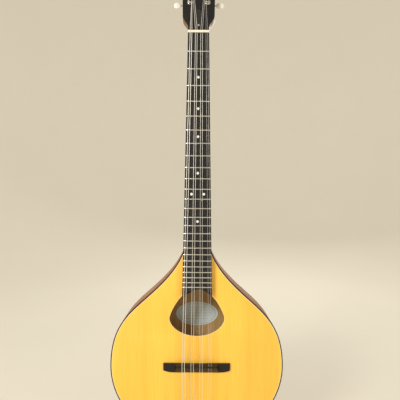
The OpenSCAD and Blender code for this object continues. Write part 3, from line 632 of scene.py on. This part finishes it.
# Height above the nut, and the power that makes the section there squarer.
THROAT_RINGS = ((THROAT_END / 3, 0.5), (THROAT_END * 0.66, 0.33), (THROAT_END, 0.2))
HEAD_SLAB_START = 9 * MM


def shaft_depth(z):
    return NECK_DEPTH + NECK_SWELL * min(1, max(0, -z) / -HEEL_START)


def neck_depth(z):
    rise = (max(0, HEEL_START - z) / (HEEL_START - NECK_END)) ** HEEL_SWEEP
    return shaft_depth(z) + (HEEL_DEPTH - shaft_depth(z)) * rise


RING_ANGLES = [math.radians(6 * k) for k in range(31)]


def neck_ring(z):
    ring = []
    for a in RING_ANGLES:
        y = neck_depth(z) * abs(math.sin(a)) ** NECK_ROUNDNESS
        x = board_half(z) * math.cos(a) * (1 - HEEL_TAPER * y / HEEL_DEPTH)
        ring.append(Vector((x, y, z)))
    return ring


def power_of(value, power):
    """The value's size to a power, with its sign kept."""
    return math.copysign(abs(value) ** power, value)


def throat_ring(z, power):
    """A ring in the headstock's frame, squarer the smaller the power."""
    return [HEAD @ Vector((NUT_HALF * power_of(math.cos(a), power),
                           HEAD_THICKNESS * power_of(math.sin(a), power), z))
            for a in RING_ANGLES]


def build_neck():
    heel = [HEEL_START + (NECK_END - HEEL_START) * k / 28 for k in range(28, 0, -1)]
    shaft = [THROAT_START + (HEEL_START - THROAT_START) * k / 16 for k in range(16, -1, -1)]
    rings = [neck_ring(z) for z in heel + shaft]
    rings += [neck_ring(NUT_HIGH.z - 2 * MM)]
    rings += [throat_ring(z, power) for z, power in THROAT_RINGS]
    shaft_piece = loft("shaft", rings, 50)
    head = slab("head", [head_outline(HEAD_SLAB_START)], 0, HEAD_THICKNESS, 0.8 * MM, HEAD)
    place(join("neck_wood", [shaft_piece, head]), "body", "neck_wood", NECK_WOOD, "neck")
    low = VENEER * math.tan(HEAD_ANGLE)
    place(slab("head_face", [head_outline(low + 0.1 * MM)], -VENEER, 0, 0.35 * MM, HEAD),
          "body", "black_veneer", BLACK_VENEER, "headstock_veneer")
    place(slab("board_riser", [board_outline(NECK_END)], BOARD_HIGH.y, TOP_LOW.y, 0.1 * MM),
          "body", "riser_wood", RISER_WOOD, "fingerboard_riser")
    place(slab("board", [board_outline(0.0)], BOARD_LOW.y, BOARD_HIGH.y, 0.4 * MM),
          "body", "ebony", EBONY, "fingerboard")


FRET_HALF_WIDTH = 1.2 * MM
FRET_RISE = 1.1 * MM
FRET_INSET = 0.3 * MM
TANG_HALF = 0.3 * MM
TANG_DEPTH = 0.8 * MM
# Near a wire's end: how far from the end, and the crown's height there as a share.
FRET_ENDS = ((0.0, 0.35), (0.25 * MM, 0.72), (0.8 * MM, 1))


def fret_z(n):
    return -SCALE * (1 - 2 ** (-n / 12))


def build_frets():
    """Crowned wires whose ends are filed to a slope, so that they meet the board's edges."""
    wires = []
    for n in range(1, FRET_COUNT + 1):
        half = board_half(fret_z(n)) - FRET_INSET
        spots = [(-half + reach, size) for reach, size in FRET_ENDS]
        spots += [(half - reach, size) for reach, size in reversed(FRET_ENDS)]
        rings = []
        for x, size in spots:
            crown = [Vector((x, BOARD_LOW.y - FRET_RISE * size * math.sin(a),
                             fret_z(n) + FRET_HALF_WIDTH * math.cos(a)))
                     for a in (math.pi * k / 12 for k in range(13))]
            rings.append(crown + [Vector((x, BOARD_LOW.y + TANG_DEPTH, fret_z(n) - TANG_HALF)),
                                  Vector((x, BOARD_LOW.y + TANG_DEPTH, fret_z(n) + TANG_HALF))])
        wires.append(loft("wire", rings, 50))
    place(join("fret_wires", wires), "body", "fret_wire", FRET_WIRE, "frets")


DOT_RADIUS = 2.5 * MM
DOT_PROUD = 0.04 * MM
DOT_EDGE = 0.03 * MM
DOT_DEPTH = MM
SIDE_DOT_RADIUS = MM
SINGLE_DOTS = (3, 5, 7, 10, 15)
OCTAVE_FRET = 12
OCTAVE_DOT_X = 11.7 * MM
OCTAVE_SIDE_DOT_Z = 3 * MM


def dot_z(n):
    return (fret_z(n - 1) + fret_z(n)) / 2


def build_dots():
    """Dots in the board's face, with a pair at the octave, and small ones in its bass edge."""
    singles = [dot_z(n) for n in SINGLE_DOTS]
    octave = dot_z(OCTAVE_FRET)
    places = [(0, z) for z in singles] + [(-OCTAVE_DOT_X, octave), (OCTAVE_DOT_X, octave)]
    discs = [slab("dot", [circle(x, z, DOT_RADIUS)], BOARD_LOW.y - DOT_PROUD,
                  BOARD_LOW.y + DOT_DEPTH, DOT_EDGE) for x, z in places]
    tilt = math.atan(BOARD_SLOPE)
    for z in singles + [octave - OCTAVE_SIDE_DOT_Z, octave + OCTAVE_SIDE_DOT_Z]:
        turn = (Matrix.Translation((-board_half(z), (BOARD_LOW.y + BOARD_HIGH.y) / 2, z))
                @ Matrix.Rotation(tilt, 4, "Y") @ Matrix.Rotation(-math.pi / 2, 4, "Z"))
        discs.append(slab("dot", [circle(0, 0, SIDE_DOT_RADIUS, 20)], -DOT_PROUD, DOT_DEPTH,
                          DOT_EDGE, turn))
    place(join("pearl_dots", discs), "body", "inlay", PEARL, "inlay_dots")


def extruded_x(name, profile, x0, x1, edge):
    """A bar along X whose ends are rounded over by edge. Profile points are Y and Z."""
    centre_y = sum(p[0] for p in profile) / len(profile)
    centre_z = sum(p[1] for p in profile) / len(profile)
    rings = []
    for x, shrink in ((x0, edge), (x0 + 0.3 * edge, 0.3 * edge), (x0 + edge, 0),
                      (x1 - edge, 0), (x1 - 0.3 * edge, 0.3 * edge), (x1, edge)):
        ring = []
        for y, z in profile:
            dy, dz = y - centre_y, z - centre_z
            far = math.hypot(dy, dz)
            keep = max(far - shrink, 0) / far
            ring.append(Vector((x, centre_y + dy * keep, centre_z + dz * keep)))
        rings.append(ring)
    return loft(name, rings)


def rounded(points, radius, steps=4):
    """A closed outline with its corners rounded."""
    out = []
    for k, (x, z) in enumerate(points):
        corner = Vector((x, z))
        before, after = Vector(points[k - 1]), Vector(points[(k + 1) % len(points)])
        reach = min(radius, (before - corner).length * 0.45, (after - corner).length * 0.45)
        a = corner + (before - corner).normalized() * reach
        b = corner + (after - corner).normalized() * reach
        for i in range(steps + 1):
            t = i / steps
            p = (1 - t) ** 2 * a + 2 * t * (1 - t) * corner + t * t * b
            out.append((p.x, p.y))
    return out


def build_nut():
    top = NUT_LOW.y
    profile = rounded([(0, 0), (0, NUT_HIGH.z), (top + 1.3 * MM, NUT_HIGH.z),
                       (top + 0.3 * MM, NUT_HIGH.z - 1.6 * MM), (top, MM), (top, 0)], 0.5 * MM)
    place(extruded_x("nut_bar", profile, -NUT_HALF, NUT_HALF, 0.3 * MM), "body", "bone", BONE,
          "nut")


# ---------- Bridge and tailpiece ----------

BRIDGE_LOW, BRIDGE_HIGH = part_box("bridge")

# The bridge's sizes are in millimetres, and its curves run inwards from its end.
CREST_Y = BRIDGE_LOW.y / MM
END_Y = (BRIDGE_HIGH.y - 4.5 * MM) / MM
FOOT_Y = BRIDGE_HIGH.y / MM
FRONT_Z = BRIDGE_FRONT / MM
CREST_HALF = 1.6
CREST_REACH, REAR_REACH = 37, 41
FULL_REAR, END_REAR = 15, 10.7
REAR_SLOPE_END_Y = 2
ARCH_RISE, ARCH_REACH = 1.5, 20
BRIDGE_STEPS = 128
END_EASE, END_EASE_REACH = 0.8, 1.2
EASED_BELOW_Y = 4
BRIDGE_FRONT_CURVE = bezier((43, END_Y), (40, END_Y), (39.5, CREST_Y), (CREST_REACH, CREST_Y), 24)
BRIDGE_REAR_CURVE = bezier((64, END_REAR), (56, 13), (50, FULL_REAR), (REAR_REACH, FULL_REAR), 24)


def read_curve(points, x, inner, outer):
    """The curve's value at a distance from the middle, with flat runs on either side."""
    points = points + [inner]
    if x >= points[0][0]:
        return outer
    for (xa, va), (xb, vb) in zip(points, points[1:]):
        if xb <= x <= xa:
            return vb + (va - vb) * (x - xb) / (xa - xb)
    return inner[1]


def bridge_section(x):
    """The bridge's outline across itself, at a distance from the middle in millimetres."""
    top = read_curve(BRIDGE_FRONT_CURVE, x, (CREST_REACH, CREST_Y), END_Y)
    rear = read_curve(BRIDGE_REAR_CURVE, x, (REAR_REACH, FULL_REAR), END_REAR)
    slope = (FULL_REAR - CREST_HALF) / (REAR_SLOPE_END_Y - CREST_Y)
    foot = FOOT_Y - ARCH_RISE * min(1, max(0, ARCH_REACH - x))
    front_z = FRONT_Z
    if top < 0:
        front_z = CREST_HALF + (FRONT_Z - CREST_HALF) * (top - CREST_Y) / -CREST_Y
    rear_z = min(rear, CREST_HALF + slope * (top - CREST_Y))
    rear_y = max(top + 0.02, CREST_Y + (rear - CREST_HALF) / slope)
    return [(foot, -rear), (foot, FRONT_Z), (max(top + 0.01, 0), FRONT_Z), (top, front_z),
            (top, -rear_z), (rear_y, -rear)]


def build_bridge():
    half = BRIDGE_HIGH.x / MM
    rings = []
    for k in range(-BRIDGE_STEPS, BRIDGE_STEPS + 1):
        x = half * k / BRIDGE_STEPS
        inward = max(0, 1 - (half - abs(x)) / END_EASE_REACH)
        shrink = END_EASE * inward ** 2
        rings.append([
            Vector((x, y + (shrink if y < EASED_BELOW_Y else 0),
                    SADDLE_Z / MM + z * (1 - shrink / FULL_REAR))) * MM
            for y, z in rounded(bridge_section(abs(x)), 0.6, 3)])
    place(loft("bridge_bar", rings, 32), "body", "bridge_ebony", EBONY_BRIDGE, "bridge")


def ring_at(radius, height, steps, matrix, axis):
    ring = []
    for k in range(steps):
        a = 2 * math.pi * k / steps
        u, v = radius * math.cos(a), radius * math.sin(a)
        ring.append(matrix @ Vector({"X": (height, u, v), "Y": (u, height, v),
                                     "Z": (u, v, height)}[axis]))
    return ring


def revolve(name, profile, matrix, axis="Y", steps=40):
    """A turned shape. The profile's points are (radius, distance along the axis)."""
    return loft(name, [ring_at(max(r, 1e-6), h, steps, matrix, axis) for r, h in profile], 35)


def screw_head(name, matrix, radius, height):
    """A domed, slotted screw head that stands along +Y of its matrix."""
    dome = [(radius, 0.0), (radius, 0.25 * height)]
    dome += [(radius * math.cos(a), height * (0.25 + 0.75 * math.sin(a)))
             for a in (math.radians(15 * k) for k in range(1, 6))] + [(0.0, height)]
    head = revolve(name, dome, matrix, steps=32)
    floor, top, wide, reach = 0.55 * height, 2 * height, 0.15 * radius, 1.2 * radius
    corners = ((floor, -wide), (floor, wide), (top, wide), (top, -wide))
    cut_away(head, loft("slot", [[matrix @ Vector((x, y, z)) for y, z in corners]
                                 for x in (-reach, reach)], 30))
    return head


SCREW_RADIUS, SCREW_HEIGHT = 2.2 * MM, 1.2 * MM
# Places of the tail screws in millimetres, as X and Y.
TAIL_SCREWS = ((-10, 16), (10, 16), (0, 27))
# The strap button's radius and height in millimetres, from the side wall outwards.
STRAP_KNOB = ((6, 0), (6, 0.8), (5.2, 1.5), (4.2, 2.5), (3.6, 3.8), (3.4, 5), (3.5, 6.5),
              (3.9, 8), (5, 9.1), (6.2, 9.9), (6.7, 10.6), (6.8, 11.3), (6.6, 12.1), (6, 12.8),
              (5, 13.2), (3.2, 13.5), (2.1, 13.6))
STRAP_SCREW_HEIGHT = 13.4 * MM


def build_tailpiece():
    place(refined("tail_plate", "tailpiece", 0.35 * MM), "body", "nickel", NICKEL, "tailpiece")
    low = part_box("tailpiece")[0].z
    heads = []
    for x, y in TAIL_SCREWS:
        turn = Matrix.Translation((x * MM, y * MM, low)) @ Matrix.Rotation(-math.pi / 2, 4, "X")
        heads.append(screw_head("tail_screw", turn, SCREW_RADIUS, SCREW_HEIGHT))
    place(join("tail_screws", heads), "body", "screws", SCREW_STEEL, "tailpiece_screws")
    button_low, button_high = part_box("strap_button")
    strap_y = (button_low.y + button_high.y) / 2
    turn = Matrix.Translation((0, strap_y, SIDE_LOW.z)) @ Matrix.Rotation(math.pi, 4, "X")
    place(revolve("strap_knob", [(r * MM, h * MM) for r, h in STRAP_KNOB], turn, "Z"),
          "body", "button_black", BUTTON_BLACK, "strap_button")
    end = (turn @ Matrix.Translation((0, 0, STRAP_SCREW_HEIGHT))
           @ Matrix.Rotation(math.pi / 2, 4, "X"))
    place(screw_head("strap_screw", end, 2.0 * MM, 0.5 * MM), "body", "screws", SCREW_STEEL)


# ---------- Strings ----------

GAUGES = (1.17 * MM, 0.86 * MM, 0.56 * MM, 0.30 * MM)
STRING_REST_Y = BOARD_LOW.y - FRET_RISE - 0.5 * MM
SADDLE_REST_Y = STRING_REST_Y - 3.2 * MM
NUT_SHIFT = 0.7 * MM
NUT_COURSE, NUT_PAIR = 10 * MM, 1.65 * MM
SADDLE_COURSE, SADDLE_PAIR = 50.5 / 3 * MM, 2.3 * MM
HOOK_PITCH = 7.6 * MM
HOOK_Z = -744 * MM
HOOK_Y = MM
HOOK_RADIUS = 1.1 * MM
GAP = 0.05 * MM
POST_NECK = 2.6 * MM
COIL_GAP = 0.15 * MM
TURN_GAP = 0.06 * MM
# The coils of neighbouring rows sit at two heights, so that the strings pass one another.
LOW_COIL_Y, HIGH_COIL_Y = -7.2 * MM, -10 * MM
THICK_TURNS, THIN_TURNS = 2.25, 3.25
COIL_STEPS = 32


def course(i):
    return (i - 1) // 2


def string_radius(i):
    return GAUGES[course(i)] / 2


def pair_side(i):
    return -1 if i % 2 else 1


def head_side(i):
    return -1 if i <= 4 else 1


def post_row(i):
    return i - 1 if i <= 4 else 8 - i


def post_z(i):
    return FIRST_POST + POST_PITCH * post_row(i)


def coil_point(i, degrees):
    radius = POST_NECK + COIL_GAP + string_radius(i)
    y = LOW_COIL_Y if post_row(i) % 2 == 0 else HIGH_COIL_Y
    a = math.radians(degrees)
    return HEAD @ Vector((head_side(i) * (POST_OFFSET - radius * math.cos(a)),
                          y + (2 * string_radius(i) + TURN_GAP) * degrees / 360,
                          post_z(i) + radius * math.sin(a)))


def loop_point(i, degrees):
    radius = HOOK_RADIUS + 2 * GAP + string_radius(i)
    a = math.radians(degrees)
    return Vector(((i - 4.5) * HOOK_PITCH + radius * math.cos(a), HOOK_Y,
                   HOOK_Z + radius * math.sin(a)))


def string_path(i):
    """A string's centre line: round its hook, over the bridge and the nut, and round its post."""
    r = string_radius(i)
    saddle_x = (course(i) - 1.5) * SADDLE_COURSE + pair_side(i) * SADDLE_PAIR
    nut_x = NUT_SHIFT + (course(i) - 1.5) * NUT_COURSE + pair_side(i) * NUT_PAIR
    turns = THICK_TURNS if course(i) == 0 else THIN_TURNS
    path = [loop_point(i, a) for a in range(-240, 0, 12)]
    path += [loop_point(i, 0), Vector((saddle_x, SADDLE_REST_Y - r, SADDLE_Z)),
             Vector((nut_x, STRING_REST_Y - r, 0.8 * MM)),
             Vector((nut_x, STRING_REST_Y - r, NUT_HIGH.z - 0.6 * MM))]
    return path + [coil_point(i, 360 / COIL_STEPS * k)
                   for k in range(int(turns * COIL_STEPS) + 1)]


def build_strings():
    for i in range(1, 9):
        wound = course(i) < 2
        piece = tube(f"string_wire_{i}", string_path(i), string_radius(i))
        place(piece, "body", "wound_string" if wound else "plain_string",
              BRONZE_WOUND if wound else PLAIN_STEEL, f"string_{i}")


# ---------- Tuners ----------

PLATE_BACK = 16.2 * MM
FLANGE_Y = -3 * MM
POST_TOP = -13 * MM
GEAR_THICK = 3 * MM
GEAR_TEETH = 16
GEAR_ROOT, GEAR_TIP = 5 * MM, 6.3 * MM
GEAR_FRONT, GEAR_BACK = GEAR_Y - GEAR_THICK / 2, GEAR_Y + GEAR_THICK / 2
WORM_TURNS, WORM_RADIUS, WORM_THROW = 3, 2.2 * MM, 0.6 * MM
WORM_PITCH = 2.356 * MM
WORM_LEAD = math.atan(WORM_PITCH / (2 * math.pi * WORM_RADIUS))
TOUCH_GAP = 0.02 * MM
BUTTON_INNER = 35 * MM
BUTTON_LENGTH = 15 * MM


def tuner_frame(i):
    """The frame of one tuner: the axis of its post, with +X pointing out of the headstock."""
    side = Matrix.Diagonal((head_side(i), 1, 1, 1))
    return HEAD @ side @ Matrix.Translation((POST_OFFSET, 0, post_z(i)))


def build_post(i):
    """A string post with a square hole through it, its gear, and the screw that holds the gear."""
    frame_i = tuner_frame(i)
    gear_seat = GEAR_FRONT - TOUCH_GAP
    post = [(0, POST_TOP), (2.2, POST_TOP), (2.6, POST_TOP + 0.1 * MM),
            (2.85, POST_TOP + 0.3 * MM), (3.0, POST_TOP + 0.65 * MM),
            (3.0, POST_TOP + 1.0 * MM), (2.75, POST_TOP + 1.2 * MM),
            (2.6, POST_TOP + 1.6 * MM), (2.6, FLANGE_Y - 0.6 * MM),
            (2.75, FLANGE_Y - 0.2 * MM), (3.0, FLANGE_Y), (3.0, PLATE_BACK + 0.3 * MM),
            (4.0, PLATE_BACK + 0.3 * MM), (4.0, gear_seat), (0, gear_seat)]
    shaft = revolve(f"post_{i}", [(r * MM, y) for r, y in post], frame_i)
    side = 0.7 * MM
    hole_y = POST_TOP + 1.7 * MM
    corners = ((-side, -side), (side, -side), (side, side), (-side, side))
    cut_away(shaft, loft("hole", [[frame_i @ Vector((x, y + hole_y, z)) for x, y in corners]
                                  for z in (-5 * MM, 5 * MM)], 30))
    body = f"post_{i}"
    place(shaft, body, "nickel", NICKEL, f"string_post_{i}")
    place(gear(f"gear_{i}", frame_i), body, "brass", BRASS)
    top = frame_i @ Matrix.Translation((0, GEAR_BACK + TOUCH_GAP, 0))
    place(screw_head(f"gear_screw_{i}", top, 2.9 * MM, 1.4 * MM), body, "screws", SCREW_STEEL)


def gear(name, matrix):
    """A gear whose teeth lean with the worm's lead, with its edges eased."""
    rings = []
    lean = math.tan(WORM_LEAD) * GEAR_THICK
    pitch = 2 * math.pi / GEAR_TEETH
    middle_radius = (GEAR_ROOT + GEAR_TIP) / 2
    tooth = ((-0.5, GEAR_ROOT), (-0.27, GEAR_ROOT), (-0.1, GEAR_TIP), (0.1, GEAR_TIP),
             (0.27, GEAR_ROOT))
    for y, ease in ((0, 0.25 * MM), (0.2, 0), (0.5, 0), (0.8, 0), (1, 0.25 * MM)):
        turn = (0.5 - y) * lean / middle_radius
        ring = []
        for t in range(GEAR_TEETH):
            for share, radius in tooth:
                a = (t + share) * pitch + turn
                r = radius - ease
                ring.append(matrix @ Vector((r * math.sin(a), GEAR_FRONT + y * GEAR_THICK,
                                             -r * math.cos(a))))
        rings.append(ring)
    return loft(name, rings, 30)


def worm(name, matrix):
    """The round section of a worm, thrown off the axis and carried round as it goes along."""
    steps = 28 * WORM_TURNS
    rings = []
    for k in range(steps + 1):
        x = (k / steps - 0.5) * WORM_TURNS * WORM_PITCH
        turn = 2 * math.pi * WORM_TURNS * k / steps - math.pi / 2
        ring = []
        for j in range(24):
            b = 2 * math.pi * j / 24
            u = WORM_THROW + WORM_RADIUS * math.cos(b)
            v = WORM_RADIUS * math.sin(b)
            ring.append(matrix @ Vector((x, u * math.cos(turn) - v * math.sin(turn),
                                         u * math.sin(turn) + v * math.cos(turn))))
        rings.append(ring)
    return loft(name, rings, 50)


def button(name, matrix):
    """A pearly oval knob: a rounded section that swells and shrinks along the shaft."""
    rings = []
    steps = 28
    half_height, half_depth = 6.5 * MM, 3.4 * MM
    tall_power, deep_power = 2.5, 2.2
    for k in range(steps + 1):
        along = -math.cos(math.pi * (k + 0.15) / (steps + 0.3))
        tall = half_height * (1 - abs(along) ** tall_power) ** (1 / tall_power)
        deep = half_depth * (1 - abs(along) ** deep_power) ** (1 / deep_power)
        x = BUTTON_INNER - POST_OFFSET + BUTTON_LENGTH / 2 * (1 + along)
        rings.append([matrix @ Vector((x, deep * power_of(math.cos(b), 0.75),
                                       tall * power_of(math.sin(b), 0.85)))
                      for b in (2 * math.pi * j / 48 for j in range(48))])
    return loft(name, rings, 60)


def build_key(i):
    """A key's shaft and worm in one piece, and its button. The rod's profile is in millimetres."""
    axis = tuner_frame(i) @ Matrix.Translation((0, GEAR_Y, KEY_RISE))
    half = WORM_TURNS * WORM_PITCH / 2 / MM
    inner = (BUTTON_INNER - POST_OFFSET) / MM
    rod = [(0, -5.05), (1.3, -5.05), (1.5, -4.85), (1.5, -half - 0.4), (2.4, -half - 0.4),
           (2.4, -half), (1.5, -half), (1.5, half), (2.4, half), (2.4, half + 0.6),
           (1.5, half + 0.6), (1.5, inner - 3.2), (1.7, inner - 2.4), (1.6, inner - 1.9),
           (2.2, inner - 1.5), (2.2, inner), (1.5, inner), (1.5, inner + 9), (0, inner + 9)]
    shaft = revolve("rod", [(r * MM, x * MM) for r, x in rod], axis, "X", 28)
    body = f"key_{i}"
    place(join(f"key_rod_{i}", [shaft, worm("worm", axis)]), body, "nickel", NICKEL,
          f"key_shaft_{i}")
    place(button(f"knob_{i}", axis), body, "button_white", BUTTON_WHITE, f"key_button_{i}")


def build_bushings():
    profile = [(3.15, FLANGE_Y), (5.0, FLANGE_Y), (5.45, FLANGE_Y + 0.15 * MM),
               (5.8, FLANGE_Y + 0.5 * MM), (5.8, -VENEER), (4.0, -VENEER), (4.0, 6 * MM),
               (3.15, 6 * MM), (3.15, FLANGE_Y)]
    rings = [revolve("bushing", [(r * MM, y) for r, y in profile], tuner_frame(i), steps=48)
             for i in range(1, 9)]
    place(join("bushing_rings", rings), "body", "nickel", NICKEL, "post_bushings")


PLATE_SCREW_RISE = 13.8 * MM
# The truss-rod cover's control points in millimetres, and the height of its one screw.
COVER_FLARE = ((8.5, 19), (8.5, 31), (5, 34), (5, 43))
COVER_TIP = ((5, 43), (5, 45), (3, 46), (0, 46))
COVER_FOOT = (8.5, 5)
COVER_THICKNESS = 1.6 * MM
COVER_SCREW_Z = 11 * MM


def build_head_parts():
    """The tuner plates and their screws, and the truss-rod cover and its screw."""
    place(refined("tuner_strips", "tuner_plates", 0.2 * MM), "body", "nickel_plate", NICKEL_PLATE,
          "tuner_plates")
    heads = []
    for side in (-1, 1):
        for k in range(-1, 4):
            spot = (side * POST_OFFSET, PLATE_BACK,
                    FIRST_POST + PLATE_SCREW_RISE + POST_PITCH * k)
            heads.append(screw_head("plate_screw", HEAD @ Matrix.Translation(spot),
                                    SCREW_RADIUS, SCREW_HEIGHT))
    place(join("plate_screw_heads", heads), "body", "screws", SCREW_STEEL, "plate_screws")
    half = [COVER_FOOT] + bezier(*COVER_FLARE, 20) + bezier(*COVER_TIP, 10)
    half = [(x * MM, z * MM) for x, z in half]
    tip = (0, COVER_TIP[3][1] * MM)
    front = -VENEER - COVER_THICKNESS
    place(slab("rod_cover", [half + [tip] + mirrored(half)], front, -VENEER, 0.4 * MM, HEAD),
          "body", "black_plastic", BLACK_PLASTIC, "truss_rod_cover")
    turn = HEAD @ Matrix.Translation((0, front, COVER_SCREW_Z)) @ Matrix.Rotation(math.pi, 4, "Z")
    place(screw_head("cover_screw_head", turn, SCREW_RADIUS, SCREW_HEIGHT), "body", "screws",
          SCREW_STEEL, "cover_screw")


def finish_cad_nodes():
    """The parts inside the body keep their CAD meshes and get wood and metal of their own."""
    for node, material in (("linings", BARE_LINING), ("neck_block", BARE_BLOCK),
                           ("tail_block", BARE_BLOCK), ("top_braces", BARE_SPRUCE),
                           ("back_braces", BARE_SPRUCE), ("truss_rod", ROD_STEEL),
                           ("truss_rod_nut", BRASS)):
        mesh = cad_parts[node].data
        mesh.materials.clear()
        mesh.materials.append(material)
        smooth(mesh, 30)


build_body()
build_neck()
build_frets()
build_dots()
build_nut()
build_bridge()
build_tailpiece()
build_strings()
build_head_parts()
build_bushings()
for number in range(1, 9):
    build_post(number)
    build_key(number)
finish_cad_nodes()

# ---------- Stage, lights and camera ----------

# Each lamp's name, place, aim, width and height, and power in watts.
LAMPS = (("key", (-1.2, -1.6, 0.4), (0, 0, -0.45), (0.6, 0.6), 34),
         ("fill", (1.5, -1.4, -0.2), (0, 0, -0.4), (1.0, 1.6), 8),
         ("back", (0.4, 1.8, 0.6), (0, 0, -0.4), (1.4, 1.4), 16))
# The camera's place, turn and lens were solved from points read off the photo.
CAMERA_PLACE = (0.0030, -0.7955, -0.3225)
CAMERA_TURN = ((-0.115, "Z"), (0.250, "X"), (-0.338, "Y"))
SENSOR_WIDTH = 36
LENS = 37.35


def build_stage():
    """A pale round floor that curves up, well away from the instrument, into a pale wall."""
    floor_z = cad_box[0].z - 2 * MM
    wall, bend, top, steps = 3.2, 1.4, 3.0, 96
    profile = [(0.6, floor_z), (1.2, floor_z)]
    profile += [(wall - bend + bend * math.sin(a), floor_z + bend - bend * math.cos(a))
                for a in (math.radians(7.5 * k) for k in range(13))]
    profile += [(wall, top)]
    points = [(r * math.cos(a), r * math.sin(a), z) for r, z in profile
              for a in (2 * math.pi * k / steps for k in range(steps))]
    faces = [list(range(steps))]
    faces += [(n * steps + k, (n + 1) * steps + k,
               (n + 1) * steps + (k + 1) % steps, n * steps + (k + 1) % steps)
              for n in range(len(profile) - 1) for k in range(steps)]
    mesh = bpy.data.meshes.new("floor")
    mesh.from_pydata(points, [], faces)
    mesh.shade_smooth()
    floor = new_object("floor", mesh)
    paint = Finish("floor_paint", Roughness=0.85)
    cloud = paint.noise(paint.scaled(3, 3, 3), 1.0, 3.0)
    paint.colour(paint.mix(cloud, srgb(190, 184, 170), srgb(184, 178, 164)))
    paint.fill(paint.shader, {"Emission Color": srgb(196, 189, 174), "Emission Strength": 0.5})
    mesh.materials.append(paint.material)
    world = bpy.data.worlds.new("studio")
    world.use_nodes = True
    background = world.node_tree.nodes["Background"]
    background.inputs["Color"].default_value = srgb(196, 190, 176)
    background.inputs["Strength"].default_value = 1.0
    scene.world = world


def area_light(name, place_at, aim, size, power):
    lamp = bpy.data.lights.new(name, "AREA")
    lamp.shape = "RECTANGLE"
    lamp.size, lamp.size_y = size
    lamp.energy = power
    light = new_object(name, lamp)
    light.visible_camera = False
    light.location = place_at
    light.rotation_euler = (Vector(aim) - Vector(place_at)).to_track_quat("-Z", "Y").to_euler()


def build_camera():
    """The photo's viewpoint: nearly square on, level with the upper part of the body."""
    lens = bpy.data.cameras.new("camera")
    lens.sensor_width = SENSOR_WIDTH
    lens.lens = LENS
    camera = new_object("camera", lens)
    turn = Matrix.Identity(4)
    for degrees, axis in CAMERA_TURN:
        turn = turn @ Matrix.Rotation(math.radians(degrees), 4, axis)
    camera.matrix_world = (Matrix.Translation(CAMERA_PLACE) @ turn
                           @ Matrix.Rotation(math.pi / 2, 4, "X"))
    scene.camera = camera


build_stage()
for settings in LAMPS:
    area_light(*settings)
build_camera()
scene.view_settings.view_transform = "Standard"
